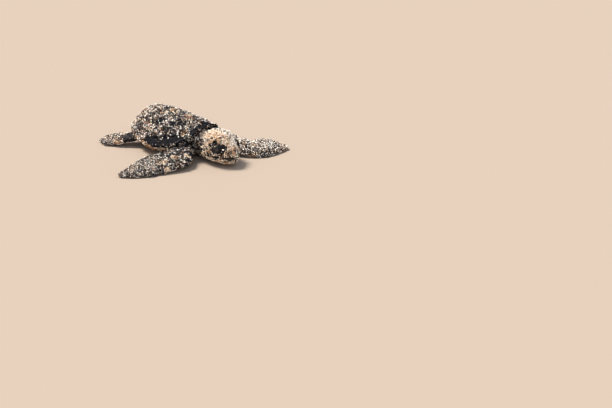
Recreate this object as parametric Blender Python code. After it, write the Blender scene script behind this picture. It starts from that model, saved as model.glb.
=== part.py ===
"""A loggerhead turtle hatchling at life size, crawling: shell plates, trunk, neck, head, flippers, tail.

The animal faces -Y with its right side towards -X, and its plastron rests on the plane z = 0 with the
origin at the middle of the rest face. Body places are given in millimetres as (forward, right, up).
The outlines are those of the outer coat, so the bare hide lies about half a millimetre inside them.
"""

import math
from dataclasses import dataclass

import bmesh
import bpy
from mathutils import Vector

MM = 0.001
GAP = 0.3  # clearance between neighbouring pieces
UP = Vector((0, 0, 1))
BODY = "body"  # the empty that every sub-part is parented to, at the rest face's middle

# Carapace
SHELL_LENGTH = 46.0
SHELL_WIDTH = 35.5
CREST_HEIGHT = 19.1  # top of the dome, without its keel
CREST_PLACE = 0.5  # share of the length behind the front edge
NAPE_HEIGHT = 16.0  # top of the front edge, over the neck
FLANK_HEIGHT = 6.0  # shell edge at the sides
TAIL_HEIGHT = 7.0  # shell edge over the tail
PLATE = 1.5  # thickness of a shell plate with its coat
RIM = 0.8  # the rim plates start at this share of the outline
KEEL = 0.8
KEEL_SPREAD = 1.3
SAWTOOTH = 0.55  # how far a rear rim plate's corner stands out
MARGINALS = 11  # rim plates on each side, between nuchal and supracaudal

# Plate seams, as shares of the inner shell's length from the front
VERTEBRAL_SEAMS = (0.0, 0.19, 0.39, 0.60, 0.81, 1.0)
VERTEBRAL_CORNERS = (0.12, 0.29, 0.495, 0.705, 0.90)
VERTEBRAL_AT_SEAM = 3.4
VERTEBRAL_AT_CORNER = 5.6
RIM_LAG = 0.01  # how much further back the costal seams meet the rim
NUCHAL_ANGLE = 0.27  # half the nuchal's span round the outline, in radians
SUPRACAUDAL_ANGLE = 0.22

# Plastron
PLASTRON_LENGTH = 39.0
PLASTRON_HALF_WIDTH = 10.2
PLASTRON_PLATE = 1.4
REST_HALF_LENGTH = 11.0
REST_HALF_WIDTH = 6.0
FRONT_RISE = 3.0  # how far the front lobe's end curves up
REAR_RISE = 1.2
BELLY_CURL = 0.055  # how fast the plastron's sides curve up
BRIDGE_SPAN = 8.0  # half the bridge's length
PLASTRON_SEAMS = (0.0, 0.13, 0.30, 0.46, 0.65, 0.84, 1.0)
PLASTRON_NAMES = ("gular", "humeral", "pectoral", "abdominal", "femoral", "anal")

# Head
NECK_BASE = 22.0  # where the head starts, forward of the origin
HEAD_TURN = math.radians(7)  # towards the animal's right
MOUTH_HEIGHT = 5.0
BEAK_START = 15.7
BEAK_TOP = 8.6
JAW_HINGE = 7.0
EYE_RADIUS = 2.1
EYE_PLACE = (13.0, 5.2, 8.7)  # along the head, to each side, up

COLOURS = {
    "shell": (0.045, 0.042, 0.048),
    "belly": (0.20, 0.155, 0.115),
    "hide": (0.06, 0.055, 0.058),
    "eye": (0.004, 0.004, 0.005),
    "horn": (0.05, 0.04, 0.035),
}
ROUGHNESS = {"shell": 0.55, "belly": 0.6, "hide": 0.7, "eye": 0.08, "horn": 0.4}


@dataclass
class Station:
    """One cross-section of a limb."""

    forward: float
    right: float
    up: float
    half_width: float
    half_thickness: float
    roll: float  # degrees that the leading edge turns down


FRONT_RIGHT = (
    Station(11.0, 8.0, 7.0, 5.0, 2.8, 0),
    Station(16.5, 12.8, 5.2, 6.3, 2.8, 4),
    Station(20.5, 18.0, 4.3, 7.0, 3.5, 8),
    Station(19.3, 24.5, 3.8, 7.0, 3.0, 16),
    Station(17.5, 31.5, 3.5, 6.4, 1.9, 25),
    Station(15.8, 38.0, 3.0, 5.2, 1.4, 28),
    Station(12.9, 43.3, 2.0, 3.7, 1.0, 22),
    Station(9.6, 47.3, 1.1, 1.2, 0.6, 10),
)
FRONT_LEFT = (
    Station(11.0, -8.0, 7.6, 5.0, 3.0, 0),
    Station(17.5, -11.6, 6.2, 5.4, 3.0, 4),
    Station(24.5, -13.0, 5.2, 5.0, 3.3, 12),
    Station(31.5, -13.6, 4.2, 4.9, 2.9, 24),
    Station(36.6, -16.0, 3.6, 5.1, 1.9, 32),
    Station(39.7, -21.0, 3.5, 5.5, 1.4, 33),
    Station(41.4, -26.4, 2.6, 4.0, 1.1, 32),
    Station(42.5, -31.0, 1.5, 2.2, 0.8, 22),
    Station(43.0, -33.4, 0.9, 0.8, 0.5, 10),
)
HIND_RIGHT = (
    Station(-9.5, 7.0, 5.0, 4.2, 2.4, 0),
    Station(-16.5, 12.0, 3.7, 4.6, 2.5, 6),
    Station(-21.7, 15.2, 2.5, 5.0, 1.9, 14),
    Station(-25.9, 17.2, 1.8, 3.8, 1.2, 12),
    Station(-28.8, 18.2, 0.9, 1.1, 0.6, 5),
)
HIND_LEFT = (
    Station(-9.5, -7.0, 5.0, 4.2, 2.4, 0),
    Station(-17.0, -11.4, 4.0, 4.6, 2.5, 6),
    Station(-23.2, -14.2, 2.8, 5.0, 1.9, 12),
    Station(-28.7, -16.0, 1.7, 3.8, 1.2, 10),
    Station(-32.6, -16.8, 0.9, 1.1, 0.6, 5),
)
LIMB_SIDES = 14
LIMB_STEPS = 3  # sections between two stations
CLAW_LENGTH = 2.1  # part of it is buried in the flipper's edge
CLAW_RADIUS = 0.5


@dataclass
class HeadSection:
    """One cross-section of the head, along its axis from the nape."""

    along: float
    half_width: float
    top: float
    bottom: float


HEAD = (
    HeadSection(0.0, 4.2, 11.4, 3.6),
    HeadSection(1.5, 6.4, 13.0, 1.9),
    HeadSection(4.5, 7.9, 14.5, 0.8),
    HeadSection(8.0, 8.2, 15.0, 0.5),
    HeadSection(11.5, 7.6, 14.2, 0.5),
    HeadSection(14.5, 6.3, 12.3, 0.8),
    HeadSection(17.2, 4.7, 10.0, 1.5),
    HeadSection(19.2, 2.8, 7.9, 2.6),
    HeadSection(20.3, 0.9, 6.2, 3.8),
)
HEAD_SIDES = 24
NECK_ROUNDNESS = 0.82  # 1 is an ellipse, and less is squarer
NECK_SHIFT = 0.4
NECK = (  # forward, half width, top, bottom
    (14.0, 5.2, 13.4, 6.0),
    (17.0, 5.4, 13.1, 5.5),
    (19.4, 5.7, 12.7, 5.0),
    (20.4, 6.4, 12.5, 2.0),
    (22.5, 7.0, 12.4, 0.9),
    (25.5, 7.1, 12.4, 0.9),
)


def place(forward, right, up):
    """A body place in millimetres as a world point in metres."""
    return Vector((-right, -forward, up)) * MM


def clear_scene():
    """Removes whatever the startup file holds."""
    for found in list(bpy.data.objects):
        bpy.data.objects.remove(found)


def collection(name):
    """A collection linked to the scene."""
    made = bpy.data.collections.new(name)
    bpy.context.scene.collection.children.link(made)
    return made


def finish(kind):
    """The Principled material of one kind of surface."""
    found = bpy.data.materials.get(kind)
    if found:
        return found
    made = bpy.data.materials.new(kind)
    made.use_nodes = True
    shader = made.node_tree.nodes["Principled BSDF"]
    shader.inputs["Base Color"].default_value = (*COLOURS[kind], 1)
    shader.inputs["Roughness"].default_value = ROUGHNESS[kind]
    return made


def solid(name, mesh, kind, parts):
    """An object of a closed bmesh, its faces turned outwards and its origin at its middle."""
    bmesh.ops.recalc_face_normals(mesh, faces=mesh.faces)
    low, high = (
        Vector([pick(vert.co[axis] for vert in mesh.verts) for axis in range(3)]) for pick in (min, max)
    )
    middle = (low + high) / 2
    bmesh.ops.translate(mesh, verts=mesh.verts, vec=-middle)
    data = bpy.data.meshes.new(name)
    mesh.to_mesh(data)
    mesh.free()
    data.materials.append(finish(kind))
    data.shade_smooth()
    data.set_sharp_from_angle(angle=math.radians(40))
    made = bpy.data.objects.new(name, data)
    made.location = middle
    made.parent = parts.objects.get(BODY)
    parts.objects.link(made)
    return made


def loft(rings):
    """A closed bmesh through rings of equally many points, with flat ends."""
    mesh = bmesh.new()
    rows = [[mesh.verts.new(point) for point in ring] for ring in rings]
    count = len(rows[0])
    for near, far in zip(rows, rows[1:]):
        for k in range(count):
            after = (k + 1) % count
            mesh.faces.new((near[k], near[after], far[after], far[k]))
    mesh.faces.new(rows[0])
    mesh.faces.new(rows[-1])
    return mesh


def slab(top_rows, bottom_rows):
    """A closed bmesh between two grids of equally many points."""
    mesh = bmesh.new()
    tops = [[mesh.verts.new(point) for point in row] for row in top_rows]
    bottoms = [[mesh.verts.new(point) for point in row] for row in bottom_rows]
    for grid in (tops, bottoms):
        for near, far in zip(grid, grid[1:]):
            for k in range(len(near) - 1):
                mesh.faces.new((near[k], near[k + 1], far[k + 1], far[k]))

    def border(grid):
        rest = grid[1:-1]
        return [*grid[0], *(row[-1] for row in rest), *grid[-1][::-1], *(row[0] for row in rest[::-1])]

    upper, lower = border(tops), border(bottoms)
    for k in range(len(upper)):
        after = (k + 1) % len(upper)
        mesh.faces.new((upper[k], upper[after], lower[after], lower[k]))
    return mesh


def curve_through(stations, steps):
    """Stations read from a smooth Catmull-Rom curve through the given ones."""
    values = [tuple(vars(station).values()) for station in stations]
    kind = type(stations[0])
    ends = [values[0], *values, values[-1]]
    found = []
    for before, start, stop, after in zip(ends, ends[1:], ends[2:], ends[3:]):
        for step in range(steps):
            share = step / steps
            found.append(
                kind(*(catmull_rom(*four, share) for four in zip(before, start, stop, after)))
            )
    return [*found, stations[-1]]


def catmull_rom(before, start, stop, after, share):
    """One value between start and stop."""
    slope_in, slope_out = (stop - before) / 2, (after - start) / 2
    square, cube = share**2, share**3
    return (
        (2 * cube - 3 * square + 1) * start
        + (cube - 2 * square + share) * slope_in
        + (3 * square - 2 * cube) * stop
        + (cube - square) * slope_out
    )


# ---------------------------------------------------------------- shell surfaces


def half_width(share):
    """Half the carapace's width at this share of its length from the front."""
    inside = min(max(share, 0.0), 1.0)
    return SHELL_WIDTH / 2 * max(math.sin(math.pi * inside**0.75), 0.0) ** 0.6


def rim_height(share):
    """Height of the carapace's edge, which arches up over the neck."""
    front = (NAPE_HEIGHT - FLANK_HEIGHT) * (1 - share) ** 6.8
    return FLANK_HEIGHT + front + (TAIL_HEIGHT - FLANK_HEIGHT) * share**6


def crest_height(share):
    """Height of the dome's midline."""
    if share < CREST_PLACE:
        fall = ((CREST_PLACE - share) / CREST_PLACE) ** 2
        return CREST_HEIGHT - (CREST_HEIGHT - NAPE_HEIGHT) * fall
    fall = ((share - CREST_PLACE) / (1 - CREST_PLACE)) ** 2.8
    return CREST_HEIGHT - (CREST_HEIGHT - TAIL_HEIGHT) * fall


def roof(across, power=1.3, soft=0.16):
    """The dome's fall from 1 at the midline to 0 at the edge: a soft-crested roof."""
    start = soft**power
    return 1 - ((across**2 + soft**2) ** (power / 2) - start) / ((1 + soft**2) ** (power / 2) - start)


def dome(forward, right):
    """Height of the carapace's outer surface, without keels."""
    share = min(max(0.5 - forward / SHELL_LENGTH, 0.0), 1.0)
    across = min(abs(right) / max(half_width(share), 0.01), 1.0)
    edge = rim_height(share)
    return edge + (crest_height(share) - edge) * roof(across)


def outline(angle, scale=1.0):
    """A point of the carapace's outline, from the front (0) round each side to the rear (pi)."""
    share = (1 - math.cos(angle)) / 2
    side = math.copysign(half_width(share), angle)
    return scale * (0.5 - share) * SHELL_LENGTH, scale * side


def outline_share(angle):
    """How far behind the front edge the outline is at this angle."""
    return (1 - math.cos(angle)) / 2


def plastron_half_width(share):
    """Half the plastron's width at this share of its length from the front."""
    return PLASTRON_HALF_WIDTH * math.sin(math.pi * min(max(share, 0.012), 0.985) ** 0.9) ** 0.5


def belly(forward, right):
    """Height of the underside: flat in the middle, rising to the lobes' ends and to the rim."""
    rise = FRONT_RISE if forward > 0 else REAR_RISE
    lift = rise * (max(abs(forward) - REST_HALF_LENGTH, 0) / 8.5) ** 2
    width = plastron_half_width(0.5 - forward / PLASTRON_LENGTH)
    side = abs(right)
    curl = BELLY_CURL * max(min(side, width) - REST_HALF_WIDTH, 0) ** 2
    if side <= width:
        return lift + curl
    share = min(max(0.5 - forward / SHELL_LENGTH, 0.0), 1.0)
    reach = max(RIM * half_width(share) - width, 0.5)
    climb = max(rim_height(share) - 1.6 - lift - curl, 0.3)
    return lift + curl + climb * min((side - width) / reach, 1.0) ** 1.7


# ---------------------------------------------------------------- carapace


def bump(share):
    """A keel's profile along one plate: highest behind its middle, nothing at its seams."""
    return max(math.sin(math.pi * share**1.6), 0.0)


def along(points, share):
    """The point at this share of a polyline, counting each stretch as equally long."""
    place_on = share * (len(points) - 1)
    first = min(int(place_on), len(points) - 2)
    part = place_on - first
    (f0, r0), (f1, r1) = points[first], points[first + 1]
    return f0 + (f1 - f0) * part, r0 + (r1 - r0) * part


def patch(front, rear, inner, outer, rows, columns):
    """Plan points of a plate between four edges, drawn in by half a gap on each side."""
    corners = inner(0), outer(0), inner(1), outer(1)
    long = math.dist(corners[0], corners[2])
    wide = math.dist(inner(0.5), outer(0.5))
    points = []
    for i in range(rows + 1):
        line = []
        for j in range(columns + 1):
            trim_s, trim_u = GAP / 2 / long, GAP / 2 / wide
            s = trim_s + (1 - 2 * trim_s) * i / rows
            u = trim_u + (1 - 2 * trim_u) * j / columns
            pair = []
            for axis in (0, 1):
                edges = (1 - s) * front(u)[axis] + s * rear(u)[axis]
                edges += (1 - u) * inner(s)[axis] + u * outer(s)[axis]
                near = (1 - u) * corners[0][axis] + u * corners[1][axis]
                far = (1 - u) * corners[2][axis] + u * corners[3][axis]
                pair.append(edges - (1 - s) * near - s * far)
            line.append((s, *pair))
        points.append(line)
    return points


def plate(name, grid, keel_line, parts):
    """A shell plate over a plan grid, with a keel where keel_line(forward) says."""
    top, bottom = [], []
    for line in grid:
        upper, lower = [], []
        for s, forward, right in line:
            height = dome(forward, right)
            off_keel = abs(right) - keel_line(forward)
            ridge = KEEL * bump(s) * math.exp(-((off_keel / KEEL_SPREAD) ** 2))
            upper.append(place(forward, right, height + ridge))
            lower.append(place(forward, right, height - PLATE))
        top.append(upper)
        bottom.append(lower)
    return solid(name, slab(top, bottom), "shell", parts)


def inner_point(share, side):
    """A point of the inner shell's outline at this share of the inner length."""
    angle = math.acos(1 - 2 * min(max(share, 0.0), 1.0))
    return outline(side * angle, RIM)


def seam_point(share, half, side):
    """A plan point on a vertebral seam, kept inside the rim."""
    forward, edge = inner_point(share, side)
    return forward, math.copysign(min(half, abs(edge)), side)


def make_vertebrals(parts):
    """The row of five plates along the back."""
    last = len(VERTEBRAL_CORNERS) - 1
    for k, corner in enumerate(VERTEBRAL_CORNERS):
        start, stop = VERTEBRAL_SEAMS[k], VERTEBRAL_SEAMS[k + 1]
        end_share = 0.028 if k == 0 else start
        tail_share = 0.985 if k == last else stop
        tail_half = VERTEBRAL_AT_SEAM if k < last else VERTEBRAL_AT_CORNER

        def edge(side):
            line = (
                seam_point(end_share, VERTEBRAL_AT_SEAM, side),
                seam_point(corner, VERTEBRAL_AT_CORNER, side),
                seam_point(tail_share, tail_half, side),
            )
            return lambda s: along(line, s)

        inner, outer = edge(-1), edge(1)

        def cross(share, extreme):
            """The front or rear edge, curved with the outline at the shell's ends."""

            def line(u):
                f0, r0 = inner(extreme)
                f1, r1 = outer(extreme)
                right = r0 + (r1 - r0) * u
                bulge = 0.0
                if share in (0.0, 1.0):
                    tip = inner_point(share, 1)[0]
                    bulge = (tip - f0) * (1 - (right / r1) ** 2)
                return f0 + (f1 - f0) * u + bulge, right

            return line

        grid = patch(cross(start, 0), cross(stop, 1), inner, outer, 4, 6)
        plate(f"carapace_vertebral_{k + 1}", grid, lambda forward: 0.0, parts)


def make_costals(parts):
    """The five plates on each side between the vertebrals and the rim."""
    shares = (0.028, *VERTEBRAL_CORNERS)
    for side, word in ((1, "right"), (-1, "left")):
        for k in range(len(VERTEBRAL_CORNERS)):
            first, last = shares[k], shares[k + 1]
            half = VERTEBRAL_AT_SEAM if k == 0 else VERTEBRAL_AT_CORNER
            bend = (first + last) / 2 if k == 0 else VERTEBRAL_SEAMS[k]
            bend_half = (VERTEBRAL_AT_SEAM + VERTEBRAL_AT_CORNER) / 2 if k == 0 else VERTEBRAL_AT_SEAM
            line = (
                seam_point(first, half, side),
                seam_point(bend, bend_half, side),
                seam_point(last, VERTEBRAL_AT_CORNER, side),
            )
            rim_shares = (first if k == 0 else first + RIM_LAG, last + RIM_LAG)
            start_angle, stop_angle = (math.acos(1 - 2 * share) for share in rim_shares)

            def inner(s):
                return along(line, s)

            def outer(s):
                return outline(side * (start_angle + (stop_angle - start_angle) * s), RIM)

            def front(u):
                return along((inner(0), outer(0)), u)

            def rear(u):
                return along((inner(1), outer(1)), u)

            grid = patch(front, rear, inner, outer, 4, 4)
            plate(f"carapace_costal_{word}_{k + 1}", grid, costal_keel, parts)


def costal_keel(forward):
    """Where the side keel runs, measured from the midline."""
    return 0.5 * half_width(0.5 - forward / SHELL_LENGTH)


def rim_section(angle, stand_out):
    """The rim's cross-section at an angle round the outline."""
    edge = rim_height(outline_share(angle))
    points = []
    for scale in (RIM, 0.88, 0.95, 1.0):
        forward, right = outline(angle, scale)
        points.append((forward, right, dome(forward, right) if scale < 1 else edge))
    forward, right = outline(angle, 0.99)
    points.append((forward, right, edge - 0.9))
    forward, right = outline(angle, 0.86)
    points.append((forward, right, edge - 1.6))
    forward, right = outline(angle, RIM)
    points.append((forward, right, max(points[0][2] - PLATE - 0.3, edge - 1.7)))
    centre = outline(angle, 1.0)
    reach = math.hypot(*centre)
    away = (centre[0] / reach, centre[1] / reach)
    shifts = (GAP / 2, 0, stand_out / 2, stand_out, stand_out, 0, GAP / 2)
    return [
        place(f + away[0] * shift, r + away[1] * shift, z)
        for (f, r, z), shift in zip(points, shifts)
    ]


def make_rim(parts):
    """The nuchal, the two rows of marginals and the supracaudal."""

    def strip(name, angles):
        rings = [rim_section(angle, stand_out) for angle, stand_out in angles]
        solid(name, loft(rings), "shell", parts)

    def even(start, stop, count):
        return [(start + (stop - start) * k / count, 0.0) for k in range(count + 1)]

    strip("carapace_nuchal", even(-NUCHAL_ANGLE, NUCHAL_ANGLE, 7))
    gap_angle = GAP / (SHELL_LENGTH / 2)
    first = NUCHAL_ANGLE + 3 * gap_angle
    last = math.pi - SUPRACAUDAL_ANGLE - 2 * gap_angle
    for side, word in ((1, "right"), (-1, "left")):
        angles = []
        for k in range(MARGINALS):
            for part, tooth in ((0.02, 0.0), (0.8, 1.0)):
                share = (k + part) / MARGINALS
                angles.append((side * (first + (last - first) * share), SAWTOOTH * tooth * share**1.5))
        angles.append((side * last, 0.0))
        strip(f"carapace_rim_{word}", angles)
    rear = [
        (math.copysign(abs(angle), 1) if angle <= math.pi else angle - 2 * math.pi, 0.0)
        for angle, _ in even(math.pi - SUPRACAUDAL_ANGLE, math.pi + SUPRACAUDAL_ANGLE, 5)
    ]
    strip("carapace_supracaudal", rear)


# ---------------------------------------------------------------- plastron and trunk


def make_plastron(parts):
    """The six cross rows of belly plates; the middle ones hold the rest face."""
    for k, name in enumerate(PLASTRON_NAMES):
        start, stop = PLASTRON_SEAMS[k], PLASTRON_SEAMS[k + 1]
        top, bottom = [], []
        for i in range(4):
            trim = GAP / 2 / PLASTRON_LENGTH
            share = start + trim + (stop - start - 2 * trim) * i / 3
            forward = (0.5 - share) * PLASTRON_LENGTH
            half = plastron_half_width(share)
            rights = [half * (j / 4 - 1) for j in range(9)]
            bottom.append([place(forward, r, belly(forward, r)) for r in rights])
            top.append([place(forward, r, belly(forward, r) + PLASTRON_PLATE) for r in rights])
        solid(f"plastron_{name}", slab(top, bottom), "belly", parts)


def make_bridges(parts):
    """The plates that join the plastron to the rim on each side."""
    for side, word in ((1, "right"), (-1, "left")):
        top, bottom = [], []
        for i in range(7):
            forward = BRIDGE_SPAN * (1 - i / 3) + 0.5
            share = 0.5 - forward / SHELL_LENGTH
            near = plastron_half_width(0.5 - forward / PLASTRON_LENGTH) + GAP
            far = RIM * half_width(share) - 0.1
            rights = [side * (near + (far - near) * j / 3) for j in range(4)]
            drop = [0.0, 0.05, 0.1, GAP]
            bottom.append(
                [place(forward, r, belly(forward, r) - d) for r, d in zip(rights, drop)]
            )
            top.append(
                [place(forward, r, belly(forward, r) + PLASTRON_PLATE - d) for r, d in zip(rights, drop)]
            )
        solid(f"plastron_bridge_{word}", slab(top, bottom), "belly", parts)


def lens(reach, low_of, high_of):
    """A closed bmesh between two surfaces, out to this share of the carapace's outline."""
    mesh = bmesh.new()
    count = 36
    angles = [-math.pi + 2 * math.pi * (k + 0.5) / count for k in range(count)]

    def vertex(forward, right, height_of):
        low, high = low_of(forward, right), high_of(forward, right)
        middle = (low + high) / 2
        wanted = height_of(forward, right)
        clear = max(wanted, middle + 0.2) if height_of is high_of else min(wanted, middle - 0.2)
        return mesh.verts.new(place(forward, right, clear))

    rims = []
    for height_of in (high_of, low_of):
        centre = vertex(0, 0, height_of)
        rows = [
            [vertex(*outline(angle, reach * part), height_of) for angle in angles]
            for part in (0.38, 0.7, 0.92, 1.0)
        ]
        for k in range(count):
            after = (k + 1) % count
            mesh.faces.new((centre, rows[0][k], rows[0][after]))
            for near, far in zip(rows, rows[1:]):
                mesh.faces.new((near[k], near[after], far[after], far[k]))
        rims.append(rows[-1])
    top, bottom = rims
    for k in range(count):
        after = (k + 1) % count
        mesh.faces.new((top[k], top[after], bottom[after], bottom[k]))
    return mesh


def make_trunk(parts):
    """The body inside the shell, which shows between the plates in front and behind."""
    mesh = lens(
        RIM - 0.022,
        lambda forward, right: belly(forward, right) + PLASTRON_PLATE + GAP,
        lambda forward, right: dome(forward, right) - PLATE - GAP,
    )
    return solid("trunk", mesh, "hide", parts)


def make_body_room(cutters):
    """A cutter over the trunk, plastron and bridges together, one gap larger than they are."""
    mesh = lens(RIM + 0.02, lambda forward, right: belly(forward, right) - GAP, dome)
    made = solid("body_room", mesh, "hide", cutters)
    hide_cutter(made)
    return made


# ---------------------------------------------------------------- limbs


def limb_frames(stations, side):
    """Each section's centre, leading direction and thickness direction, with its sizes."""
    dense = curve_through(stations, LIMB_STEPS)
    centres = [place(s.forward, s.right, s.up) for s in dense]
    frames = []
    for k, station in enumerate(dense):
        ahead = (centres[min(k + 1, len(centres) - 1)] - centres[max(k - 1, 0)]).normalized()
        lead = side * UP.cross(ahead).normalized()
        thick = side * ahead.cross(lead)
        roll = math.radians(station.roll)
        turned = lead * math.cos(roll) - thick * math.sin(roll)
        thick = thick * math.cos(roll) + lead * math.sin(roll)
        frames.append((centres[k], ahead, turned, thick, station))
    return frames


def limb_mesh(frames):
    """A flipper: thick and round along its leading edge, thin behind, flat where it touches down."""
    rings = []
    for centre, _, lead, thick, station in frames:
        ring = []
        for k in range(LIMB_SIDES):
            angle = 2 * math.pi * k / LIMB_SIDES
            across = math.cos(angle) * station.half_width
            fullness = 0.78 + 0.3 * math.cos(angle)
            up = math.sin(angle) * station.half_thickness * fullness
            point = centre + (lead * across + thick * up) * MM
            point.z = max(point.z, 0.0)
            ring.append(point)
        rings.append(ring)
    return loft(rings)


def keep_side(mesh, point, direction):
    """Cuts the mesh at a plane and keeps what lies ahead of it, closing the cut."""
    whole = [*mesh.verts, *mesh.edges, *mesh.faces]
    cut = bmesh.ops.bisect_plane(
        mesh, geom=whole, plane_co=point, plane_no=direction, clear_inner=True, dist=1e-7
    )
    edges = [item for item in cut["geom_cut"] if isinstance(item, bmesh.types.BMEdge)]
    bmesh.ops.holes_fill(mesh, edges=edges)
    return mesh


def make_limb(stations, side, names, cut_at, parts):
    """A limb in two pieces, parted by a thin cut at one of its stations."""
    frames = limb_frames(stations, side)
    centre, ahead = frames[cut_at * LIMB_STEPS][:2]
    half_gap = ahead * GAP / 2 * MM
    root = keep_side(limb_mesh(frames), centre - half_gap, -ahead)
    outer = keep_side(limb_mesh(frames), centre + half_gap, ahead)
    return (
        solid(names[0], root, "hide", parts),
        solid(names[1], outer, "hide", parts),
        frames,
    )


def make_claw(name, frame, length, parts):
    """A short cone that leans out of a flipper's leading edge towards its tip."""
    centre, ahead, lead, _, station = frame
    lean = (lead * 0.7 + ahead).normalized()
    root = centre + lead * (station.half_width - 0.75) * MM
    sides = 10
    across = lean.cross(UP).normalized()
    other = lean.cross(across).normalized()
    rings = []
    for share in (0.0, 0.45, 0.75, 0.93, 1.0):
        radius = CLAW_RADIUS * (1 - share**2 * 0.8)
        hooked = lean * share + ahead * 0.22 * share**2
        rings.append(
            [
                root
                + hooked * length * MM
                + (across * math.cos(a) + other * math.sin(a)) * radius * MM
                for a in (2 * math.pi * k / sides for k in range(sides))
            ]
        )
    lowest = min(point.z for ring in rings for point in ring)
    lift = UP * max(0.1 * MM - lowest, 0)
    return solid(name, loft([[point + lift for point in ring] for ring in rings]), "horn", parts)


# ---------------------------------------------------------------- head, neck, tail


def on_head(along_head, right, up):
    """A place given along the head's own axis, as a world point."""
    forward = NECK_BASE + along_head * math.cos(HEAD_TURN) - right * math.sin(HEAD_TURN)
    sideways = along_head * math.sin(HEAD_TURN) + right * math.cos(HEAD_TURN)
    return place(forward, sideways, up)


def rounded(value, power):
    """A cosine or sine with its curve made squarer."""
    return math.copysign(abs(value) ** power, value)


def head_ring(section):
    """An egg-shaped cross-section: full cheeks, a narrower throat and a flattened crown."""
    middle = section.bottom + 0.46 * (section.top - section.bottom)
    ring = []
    for k in range(HEAD_SIDES):
        angle = 2 * math.pi * (k + 0.5) / HEAD_SIDES
        cos, sin = math.cos(angle), math.sin(angle)
        rise = (section.top - middle) if sin > 0 else (middle - section.bottom)
        across = rounded(cos, 0.85) * (1.0 if sin > 0 else 1 - 0.1 * sin**2)
        up = rounded(sin, 0.9)
        ring.append(on_head(section.along, across * section.half_width, middle + up * rise))
    return ring


def head_mesh():
    """The whole head, before it is parted."""
    return loft([head_ring(section) for section in curve_through(HEAD, 2)])


def head_piece(name, kind, planes, parts):
    """The part of the head ahead of each (along, up, direction) plane."""
    mesh = head_mesh()
    for along_head, up, direction in planes:
        point = on_head(along_head, 0, up)
        turned = on_head(direction[0], 0, direction[1]) - on_head(0, 0, 0)
        keep_side(mesh, point, turned.normalized())
    return solid(name, mesh, kind, parts)


def make_head(parts, cutters):
    """The head, its lower jaw, the two horny beaks and the eyes."""
    half = GAP / 2
    below, above, ahead, behind = (0, -1), (0, 1), (1, 0), (-1, 0)
    pieces = [
        head_piece(
            "beak_upper",
            "horn",
            ((BEAK_START + half, 0, ahead), (0, MOUTH_HEIGHT + half, above), (0, BEAK_TOP - half, below)),
            parts,
        ),
        head_piece(
            "beak_lower", "horn", ((BEAK_START + half, 0, ahead), (0, MOUTH_HEIGHT - half, below)), parts
        ),
        head_piece(
            "lower_jaw",
            "hide",
            ((BEAK_START - half, 0, behind), (JAW_HINGE + half, 0, ahead), (0, MOUTH_HEIGHT - half, below)),
            parts,
        ),
    ]
    head = solid("head", head_mesh(), "hide", parts)
    for name, low, high in (
        ("jaw_room", (JAW_HINGE - half, -1), (30, MOUTH_HEIGHT + half)),
        ("beak_room", (BEAK_START - half, -1), (30, BEAK_TOP + half)),
    ):
        subtract(head, box_cutter(name, low, high, cutters))
    eyes = []
    for side, word in ((1, "right"), (-1, "left")):
        centre = on_head(EYE_PLACE[0], side * EYE_PLACE[1], EYE_PLACE[2])
        eyes.append(ball(f"eye_{word}", centre, EYE_RADIUS, 12, parts))
        socket = ball(f"socket_{word}", centre, EYE_RADIUS + GAP, 12, cutters)
        hide_cutter(socket)
        subtract(head, socket)
    return head, pieces, eyes


def ball(name, centre, radius, segments, parts):
    """A sphere of millimetre radius."""
    mesh = bmesh.new()
    bmesh.ops.create_uvsphere(mesh, u_segments=segments, v_segments=segments - 4, radius=radius * MM)
    bmesh.ops.translate(mesh, verts=mesh.verts, vec=centre)
    return solid(name, mesh, "eye", parts)


def box_cutter(name, low, high, cutters):
    """A box across the whole head between two (along, up) corners."""
    wide = 20
    rings = [
        [on_head(low[0], side, low[1]), on_head(low[0], side, high[1])]
        + [on_head(high[0], side, high[1]), on_head(high[0], side, low[1])]
        for side in (-wide, wide)
    ]
    made = solid(name, loft(rings), "hide", cutters)
    hide_cutter(made)
    return made


def make_neck(parts):
    """A short thick neck from the trunk into the head, its throat sagging in front of the plastron."""
    sides = 20
    rings = []
    for forward, half, top, bottom in NECK:
        middle, high = (top + bottom) / 2, (top - bottom) / 2
        ring = []
        for k in range(sides):
            angle = 2 * math.pi * (k + 0.5) / sides
            across, up = rounded(math.cos(angle), NECK_ROUNDNESS), rounded(math.sin(angle), NECK_ROUNDNESS)
            ring.append(place(forward, NECK_SHIFT + half * across, middle + high * up))
        rings.append(ring)
    return solid("neck", loft(rings), "hide", parts)


def make_tail(parts):
    """A small tapering tail under the shell's rear edge."""
    sides = 10
    rings = []
    for share in (0, 0.2, 0.4, 0.6, 0.8, 0.93, 1):
        radius = 1.4 * (1 - share**1.8) + 0.3
        centre_up = 4.1 - 2.2 * share**1.4
        rings.append(
            [
                place(-17.0 - 7.6 * share, radius * math.cos(a), centre_up + 0.82 * radius * math.sin(a))
                for a in (2 * math.pi * (k + 0.5) / sides for k in range(sides))
            ]
        )
    return solid("tail", loft(rings), "hide", parts)


# ---------------------------------------------------------------- fitting pieces together


def hide_cutter(cutter):
    """Marks an object as a tool that isn't part of the animal."""
    cutter.hide_render = True
    cutter.display_type = "WIRE"


def evaluated_mesh(source):
    """The object's mesh with its modifiers applied, in world space."""
    graph = bpy.context.evaluated_depsgraph_get()
    mesh = bpy.data.meshes.new_from_object(source.evaluated_get(graph))
    mesh.transform(source.matrix_world)
    return mesh


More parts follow.
